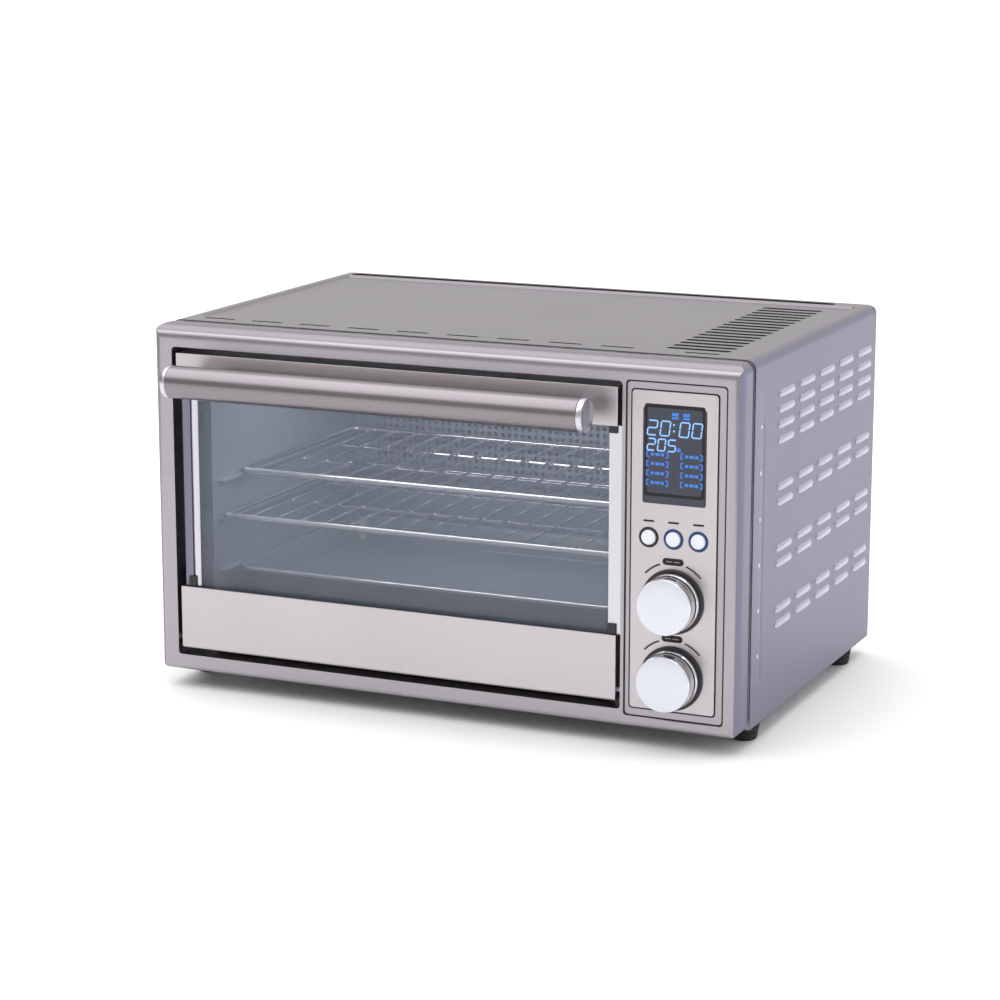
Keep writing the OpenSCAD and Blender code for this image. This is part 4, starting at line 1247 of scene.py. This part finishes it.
def mode_fields():
    """Two columns of four mode fields and the signs above the clock."""
    light = glow("display_light_blue", bpy.context.scene.oven_finish.modes, 0.8)
    field = pattern_form("field_form", mode_field)
    top = PLATE_HIGH.z - 16 * MM
    grid = copied("fields", field, light, 2, 4, (27.2 * MM, 7.2 * MM), (PLATE_X, PLATE_Y, top - 46.6 * MM),
                  "front")
    bpy.data.objects.remove(field)
    form = bmesh.new()
    left = PLATE_X - LENS_HALF
    for x in (22.8, 31.6):
        block(form, (left + x * MM, top - 8.2 * MM, 0), (left + (x + 5.4) * MM, top - 6.6 * MM, INK))
        block(form, (left + x * MM, top - 5.9 * MM, 0), (left + (x + 5.4) * MM, top - 3.4 * MM, INK))
    block(form, (left + 26.8 * MM, top - 32.6 * MM, 0), (left + 30 * MM, top - 30 * MM, INK))
    upright(form)
    return joined("display_modes", [grid, keep("signs", form, light)])


def panel_ink():
    """Printed marks: a dark pill over each knob, dots beside it and a short bar over each button."""
    ink = printed("ink_black", "141318")
    dot = pattern_form("dot_form", lambda f: slab(f, oblong(2.1 * MM, 1.3 * MM, 5), 0, INK))
    label = pattern_form("label_form", lambda f: slab(f, oblong(9 * MM, 1.5 * MM, 4), 0, INK))
    pill = pattern_form("pill_form", lambda f: slab(f, oblong(17 * MM, 5.4 * MM, 8), 0, INK))
    low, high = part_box("button_middle")
    parts = [copied("labels", label, ink, 3, 1, (19.8 * MM, 0),
                    (PLATE_X, PLATE_Y, (low.z + high.z) / 2 + 12.6 * MM),
                    "front")]
    for node in ("knob_upper", "knob_lower"):
        low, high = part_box(node)
        centre = (PLATE_X, PLATE_Y, (low.z + high.z) / 2)
        parts.append(copied("pill", pill, ink, 1, 1, (0, 0), (PLATE_X, PLATE_Y, centre[2] + BADGE_RISE),
                            "front"))
        for start in (44, 112):
            parts.append(grown("dots", arc_tree, finish=ink, count=8, radius=DOT_RADIUS,
                               start=math.radians(start),
                               sweep=math.radians(24), centre=centre, turn=FACING["front"], form=dot))
    for form_piece in (dot, label, pill):
        bpy.data.objects.remove(form_piece)
    return joined("panel_marks", parts)


def pill_ink():
    """Pale bars in the dark pills."""
    pale = printed("ink_pale", "8b8990")
    form = bmesh.new()
    for node in ("knob_upper", "knob_lower"):
        low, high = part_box(node)
        z = (low.z + high.z) / 2 + BADGE_RISE
        for x, wide in ((-5.6, 4.6), (0.4, 4.8)):
            block(form, (PLATE_X + x * MM, PLATE_Y - 2 * INK, z - 0.4 * MM),
                  (PLATE_X + (x + wide) * MM, PLATE_Y - INK, z + 0.4 * MM))
    return keep("pill_marks", form, pale)


def frame_ring(form, x, z, half_x, half_z, bend, width, near, far):
    """A flat ring round a rectangle with round corners, facing the front."""
    loops = []
    for grow, y in ((0, near), (-width, near), (-width, far), (0, far)):
        box_low = Vector((x - half_x - grow, z - half_z - grow, 0))
        box_high = Vector((x + half_x + grow, z + half_z + grow, 0))
        loops.append([form.verts.new((p.x, y, p.y)) for p in round_loop(box_low, box_high, 0, bend, 0)])
    for a, b in zip(loops, loops[1:] + loops[:1]):
        for i in range(len(a)):
            j = (i + 1) % len(a)
            form.faces.new([a[i], a[j], b[j], b[i]])
    bmesh.ops.recalc_face_normals(form, faces=form.faces)


def ledge_seal():
    """A dark rubber strip in the corner of the pocket round the control plate: painted shade for the dark
    line along the step.
    """
    low, high = PLATE_LOW, PLATE_HIGH
    x0, x1 = low.x - 0.8 * MM, high.x + 3.2 * MM
    z0, z1 = low.z - 3.1 * MM, high.z + 3 * MM
    form = bmesh.new()
    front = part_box("front_frame")[0].y + 1 * MM
    frame_ring(form, (x0 + x1) / 2, (z0 + z1) / 2, (x1 - x0) / 2, (z1 - z0) / 2, 3 * MM, 0.9 * MM,
               front - 0.35 * MM, front + 0.2 * MM)
    return keep("ledge_seal", form, rubber())


def lens_border():
    """The black border printed round the display window."""
    form = bmesh.new()
    half = LENS_HALF
    top, bottom = PLATE_HIGH.z - 12 * MM, PLATE_HIGH.z - 85.3 * MM
    frame_ring(form, PLATE_X, (top + bottom) / 2, half - 1.1 * MM, (top - bottom) / 2 - 1.6 * MM, 2 * MM,
               2.3 * MM,
               PLATE_Y - 0.12 * MM, PLATE_Y + 0.1 * MM)
    return keep("lens_border", form, printed("ink_black", "141318"))


def button(node):
    """A push button: a domed cap with a soft edge, its skirt and its stem."""
    low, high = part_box(node)
    centre = ((low.x + high.x) / 2, low.y, (low.z + high.z) / 2)
    radius = 5.75 * MM
    outline = [(0, 0), (radius * 0.55, 0.08 * MM), (radius * 0.85, 0.35 * MM), (radius * 0.97, 0.9 * MM),
               (radius, 1.6 * MM), (radius, 5 * MM), (radius + 1.2 * MM, 5 * MM), (radius + 1.2 * MM, 6 * MM),
               (2 * MM, 6 * MM), (2 * MM, high.y - low.y), (0, high.y - low.y)]
    seated(turned(node + "_cap", outline, (0, 1, 0), centre, white_plastic(), 64), "white_plastic", node)


def button_ring(node, finish):
    """The ring round one button, with a rounded front edge."""
    low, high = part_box("button_rings")
    cap_low, cap_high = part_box(node)
    centre = ((cap_low.x + cap_high.x) / 2, low.y, (cap_low.z + cap_high.z) / 2)
    outer, inner, deep = 7.75 * MM, 6.05 * MM, high.y - low.y
    outline = [(inner, deep), (inner, 0.4 * MM), (inner + 0.4 * MM, 0), (outer - 0.5 * MM, 0),
               (outer, 0.5 * MM),
               (outer, deep), (inner, deep)]
    name = node.replace("button", "button_ring")
    return turned(name, outline, (0, 1, 0), centre, finish, 64)


def build_controls(sizes):
    """The control plate, the display, the printed marks and the buttons."""
    finish = bpy.context.scene.oven_finish
    plate = softened("control_plate", door_steel(), 0.4 * MM)
    # The plate's faces more than 0.9 mm behind its front get black plastic: painted shade along the plate's
    # edges.
    refaced(plate, black_plastic(), lambda face: face.center.y > PLATE_Y + 0.9 * MM)
    seated(plate, "stainless", "control_plate")
    seated(ledge_seal(), "rubber", body=plate["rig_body"])
    seated(softened("display_window", window_lens(), 0.4 * MM), "display_glass", "display_window")
    for piece, slot in ((clock_digits(), "display_glass"), (mode_fields(), "display_glass"),
                        (panel_ink(), "black_plastic"), (pill_ink(), "white_plastic"),
                        (lens_border(), "black_plastic")):
        seated(piece, slot, body=frame["nodes"]["control_plate"]["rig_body"])
    for node in ("button_left", "button_middle", "button_right"):
        button(node)
    blue = glow("button_light_blue", shade(finish.modes, 0.35), 0.35)
    rings = [button_ring("button_left", black_plastic()), button_ring("button_middle", blue),
             button_ring("button_right", blue)]
    for ring in rings:
        seated(ring, "button_ring", "button_rings")


def knob(node, shaft):
    """A turned knob: a chromed skirt with a bead, a spun aluminium face and a bore for the shaft."""
    low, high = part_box(node)
    centre = Vector(((low.x + high.x) / 2, high.y, (low.z + high.z) / 2))
    reach = high.y - low.y
    base, face = 22.5 * MM, 21.5 * MM
    skirt = [(3 * MM, 0), (base, 0), (base, 2.4 * MM), (base - 0.4 * MM, 3 * MM), (face + 0.2 * MM, 3.6 * MM),
             (face + 0.5 * MM, 5 * MM), (face + 0.3 * MM, reach - 2 * MM), (face, reach - 1.1 * MM),
             (face - 0.3 * MM, reach - 0.7 * MM), (3 * MM, reach - 0.7 * MM), (3 * MM, 0)]
    seated(turned(node + "_skirt", skirt, (0, -1, 0), centre, chrome()), "chrome", node)
    disc = [(0, reach - 0.65 * MM), (face - 0.4 * MM, reach - 0.65 * MM),
            (face - 0.6 * MM, reach - 0.25 * MM),
            (face - 1.3 * MM, reach - 0.05 * MM), (face * 0.4, reach), (0, reach)]
    cover = turned(node + "_face", disc, (0, -1, 0), centre, knob_face("aluminium_spun_" + node, centre))
    seated(cover, "white_plastic", body=frame["nodes"][node]["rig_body"])
    seated(softened(shaft, zinc(), 0.3 * MM), "zinc", shaft)


def build_knobs(sizes):
    """The two knobs, their shafts and the black rings behind them."""
    knob("knob_upper", "shaft_upper")
    knob("knob_lower", "shaft_lower")
    seated(softened("knob_rings", black_plastic(), 0.5 * MM), "black_plastic", "knob_rings")
    for node in ("encoder_upper", "encoder_lower"):
        seated(softened(node, zinc(), 0.3 * MM), "zinc", node)


def fan_blades():
    """The convection fan's wheel: a hub and six curved blades of thin sheet."""
    low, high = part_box("fan_blade")
    cx, cz = (low.x + high.x) / 2, (low.z + high.z) / 2
    form = bmesh.new()
    steps = 8
    for blade in range(6):
        turn = 2 * math.pi * blade / 6
        rows = []
        for i in range(steps + 1):
            u = i / steps
            reach = (9 + 47 * u) * MM
            angle = turn + 0.35 * u * u
            half = (7 + 6 * math.sin(math.pi * u * 0.85)) * MM
            row = []
            for s in (-1, -0.33, 0.33, 1):
                x = cx + reach * math.cos(angle) - s * half * math.sin(angle)
                z = cz + reach * math.sin(angle) + s * half * math.cos(angle)
                y = (low.y + high.y) / 2 + 3.6 * MM * s * (1 - 0.2 * u)
                row.append(form.verts.new((x, y, z)))
            rows.append(row)
        for near, far in zip(rows, rows[1:]):
            for j in range(3):
                form.faces.new([near[j], near[j + 1], far[j + 1], far[j]])
    bmesh.ops.solidify(form, geom=form.faces[:], thickness=0.8 * MM)
    bmesh.ops.recalc_face_normals(form, faces=form.faces)
    wheel = keep("blades", form, zinc())
    hub = turned("hub", [(3 * MM, 0), (9 * MM, 0), (9.5 * MM, 1 * MM), (9.5 * MM, 10 * MM), (8 * MM, 11 * MM),
                         (3 * MM, 11 * MM), (3 * MM, 0)], (0, 1, 0), (cx, low.y, cz), zinc(), 48)
    seated(joined("fan_wheel", [wheel, hub]), "zinc", "fan_blade")


def build_works(sizes):
    """The fan, its motor and the electronics."""
    fan_blades()
    seated(softened("fan_shaft", zinc(), 0.3 * MM), "zinc", "fan_shaft")
    seated(softened("fan_housing", galvanised_steel(), 0.4 * MM), "galvanised", "fan_housing")
    seated(softened("fan_motor", zinc(), 0.8 * MM), "zinc", "fan_motor")
    seated(softened("display_module", black_plastic(), 0.5 * MM), "black_plastic", "display_module")
    for node in ("control_board", "power_board"):
        seated(softened(node, circuit_board(), 0.2 * MM, 1), "circuit_board", node)


def build_stage():
    """The pale floor, the surround, the lights and the camera."""
    scene = bpy.context.scene
    settings = scene.oven_stage
    scene.view_settings.view_transform = "Standard"
    form = bmesh.new()
    bmesh.ops.create_grid(form, x_segments=1, y_segments=1, size=30.0)
    pale = material("floor_matt", {"Roughness": 0.6, "Specular IOR Level": 0.2},
                    grained(settings.floor, 0.6, 40.0, 0.01, 0.001, 0.02))
    keep("floor", form, pale)
    world = bpy.data.worlds.new("surround")
    scene.world = world
    world.use_nodes = True
    tree = world.node_tree
    tree.nodes.clear()
    way = add(tree, "ShaderNodeTexCoord").outputs["Generated"]
    parts = add(tree, "ShaderNodeSeparateXYZ", {"Vector": way}).outputs
    ahead = add(tree, "ShaderNodeMapRange",
                {"Value": parts["Y"], "From Min": -0.7, "From Max": 0.1,
                 "To Min": settings.shade}).outputs["Result"]
    left = add(tree, "ShaderNodeMapRange",
               {"Value": parts["X"], "From Min": -0.9, "From Max": -0.66, "To Min": 0.1}).outputs["Result"]
    tone = add(tree, "ShaderNodeMath", {0: ahead, 1: left}, operation="MULTIPLY").outputs[0]
    around = add(tree, "ShaderNodeBackground", {"Color": tone, "Strength": settings.sky})
    add(tree, "ShaderNodeOutputWorld", {"Surface": around.outputs["Background"]})
    key = bpy.data.lights.new("key", "SUN")
    key.energy = settings.key
    key.angle = math.radians(80)
    light = bpy.data.objects.new("key", key)
    light.rotation_euler = Vector((0.22, 0.22, -1.0)).to_track_quat("-Z", "Y").to_euler()
    scene.collection.objects.link(light)
    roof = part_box("cavity_roof")
    lamp = bpy.data.lights.new("oven_lamp", "AREA")
    lamp.shape = "RECTANGLE"
    lamp.size, lamp.size_y = 0.3, 0.14
    lamp.energy = settings.lamp
    inside = bpy.data.objects.new("oven_lamp", lamp)
    inside.location = ((roof[0].x + roof[1].x) / 2, roof[0].y + 80 * MM, roof[0].z - 4 * MM)
    scene.collection.objects.link(inside)
    lens = bpy.data.cameras.new("camera")
    lens.lens = settings.lens
    camera = bpy.data.objects.new("camera", lens)
    place, target = Vector((0.9288, -2.0952, 0.6517)), Vector((0.0416, -0.1185, 0.1758))
    camera.location = place
    camera.rotation_euler = (target - place).to_track_quat("-Z", "Y").to_euler()
    scene.collection.objects.link(camera)
    scene.camera = camera


# ---- the add-on ----


class OVEN_OT_casing(bpy.types.Operator):
    """Build the wrapper with its vents, louvres and dimples"""

    bl_idname = "oven.casing"
    bl_label = "Casing"

    def execute(self, context):
        build_casing(context.scene.oven_sizes)
        return {"FINISHED"}


class OVEN_OT_front(bpy.types.Operator):
    """Build the front frame and the chassis plate"""

    bl_idname = "oven.front"
    bl_label = "Front"

    def execute(self, context):
        build_front(context.scene.oven_sizes)
        return {"FINISHED"}


class OVEN_OT_rear(bpy.types.Operator):
    """Build the back panel, the base, the feet, the screws and the gland"""

    bl_idname = "oven.rear"
    bl_label = "Rear and base"

    def execute(self, context):
        build_rear_and_base(context.scene.oven_sizes)
        return {"FINISHED"}


class OVEN_OT_cavity(bpy.types.Operator):
    """Build the cavity, the heaters and the sensors"""

    bl_idname = "oven.cavity"
    bl_label = "Cavity"

    def execute(self, context):
        build_cavity(context.scene.oven_sizes)
        return {"FINISHED"}


class OVEN_OT_racks(bpy.types.Operator):
    """Build the racks and the trays"""

    bl_idname = "oven.racks"
    bl_label = "Racks and trays"

    def execute(self, context):
        build_racks_and_trays(context.scene.oven_sizes)
        return {"FINISHED"}


class OVEN_OT_door(bpy.types.Operator):
    """Build the door and its glass"""

    bl_idname = "oven.door"
    bl_label = "Door"

    def execute(self, context):
        build_door(context.scene.oven_sizes)
        return {"FINISHED"}


class OVEN_OT_handle(bpy.types.Operator):
    """Build the handle"""

    bl_idname = "oven.handle"
    bl_label = "Handle"

    def execute(self, context):
        build_handle(context.scene.oven_sizes)
        return {"FINISHED"}


class OVEN_OT_controls(bpy.types.Operator):
    """Build the control plate, the display and the buttons"""

    bl_idname = "oven.controls"
    bl_label = "Controls"

    def execute(self, context):
        build_controls(context.scene.oven_sizes)
        return {"FINISHED"}


class OVEN_OT_knobs(bpy.types.Operator):
    """Build the knobs and their shafts"""

    bl_idname = "oven.knobs"
    bl_label = "Knobs"

    def execute(self, context):
        build_knobs(context.scene.oven_sizes)
        return {"FINISHED"}


class OVEN_OT_works(bpy.types.Operator):
    """Build the fan, its motor and the electronics"""

    bl_idname = "oven.works"
    bl_label = "Works"

    def execute(self, context):
        build_works(context.scene.oven_sizes)
        return {"FINISHED"}


class OVEN_OT_stage(bpy.types.Operator):
    """Build the floor, the lights and the camera"""

    bl_idname = "oven.stage"
    bl_label = "Stage"

    def execute(self, context):
        build_stage()
        return {"FINISHED"}


STEPS = (OVEN_OT_casing, OVEN_OT_front, OVEN_OT_rear, OVEN_OT_cavity, OVEN_OT_racks, OVEN_OT_door,
         OVEN_OT_handle, OVEN_OT_controls, OVEN_OT_knobs, OVEN_OT_works, OVEN_OT_stage)


class OVEN_PT_build(bpy.types.Panel):
    """Lists the settings and the steps of the build."""

    bl_label = "Toaster Oven"
    bl_space_type = "VIEW_3D"
    bl_region_type = "UI"
    bl_category = "Toaster Oven"

    def draw(self, context):
        for settings in (context.scene.oven_finish, context.scene.oven_sizes, context.scene.oven_stage):
            box = self.layout.box()
            for name in settings.__annotations__:
                box.prop(settings, name)
        for step in STEPS:
            self.layout.operator(step.bl_idname)


CLASSES = (OvenFinish, OvenSizes, OvenStage, *STEPS, OVEN_PT_build)


def register():
    """Registers the classes and puts the settings on the scene."""
    for each in CLASSES:
        bpy.utils.register_class(each)
    bpy.types.Scene.oven_finish = PointerProperty(type=OvenFinish)
    bpy.types.Scene.oven_sizes = PointerProperty(type=OvenSizes)
    bpy.types.Scene.oven_stage = PointerProperty(type=OvenStage)


def unregister():
    """Takes the settings and the classes away."""
    del bpy.types.Scene.oven_finish
    del bpy.types.Scene.oven_sizes
    del bpy.types.Scene.oven_stage
    for each in reversed(CLASSES):
        bpy.utils.unregister_class(each)


def main():
    """Runs every step in order."""
    register()
    for step in STEPS:
        family, name = step.bl_idname.split(".")
        getattr(getattr(bpy.ops, family), name)()


if __name__ == "__main__":
    main()
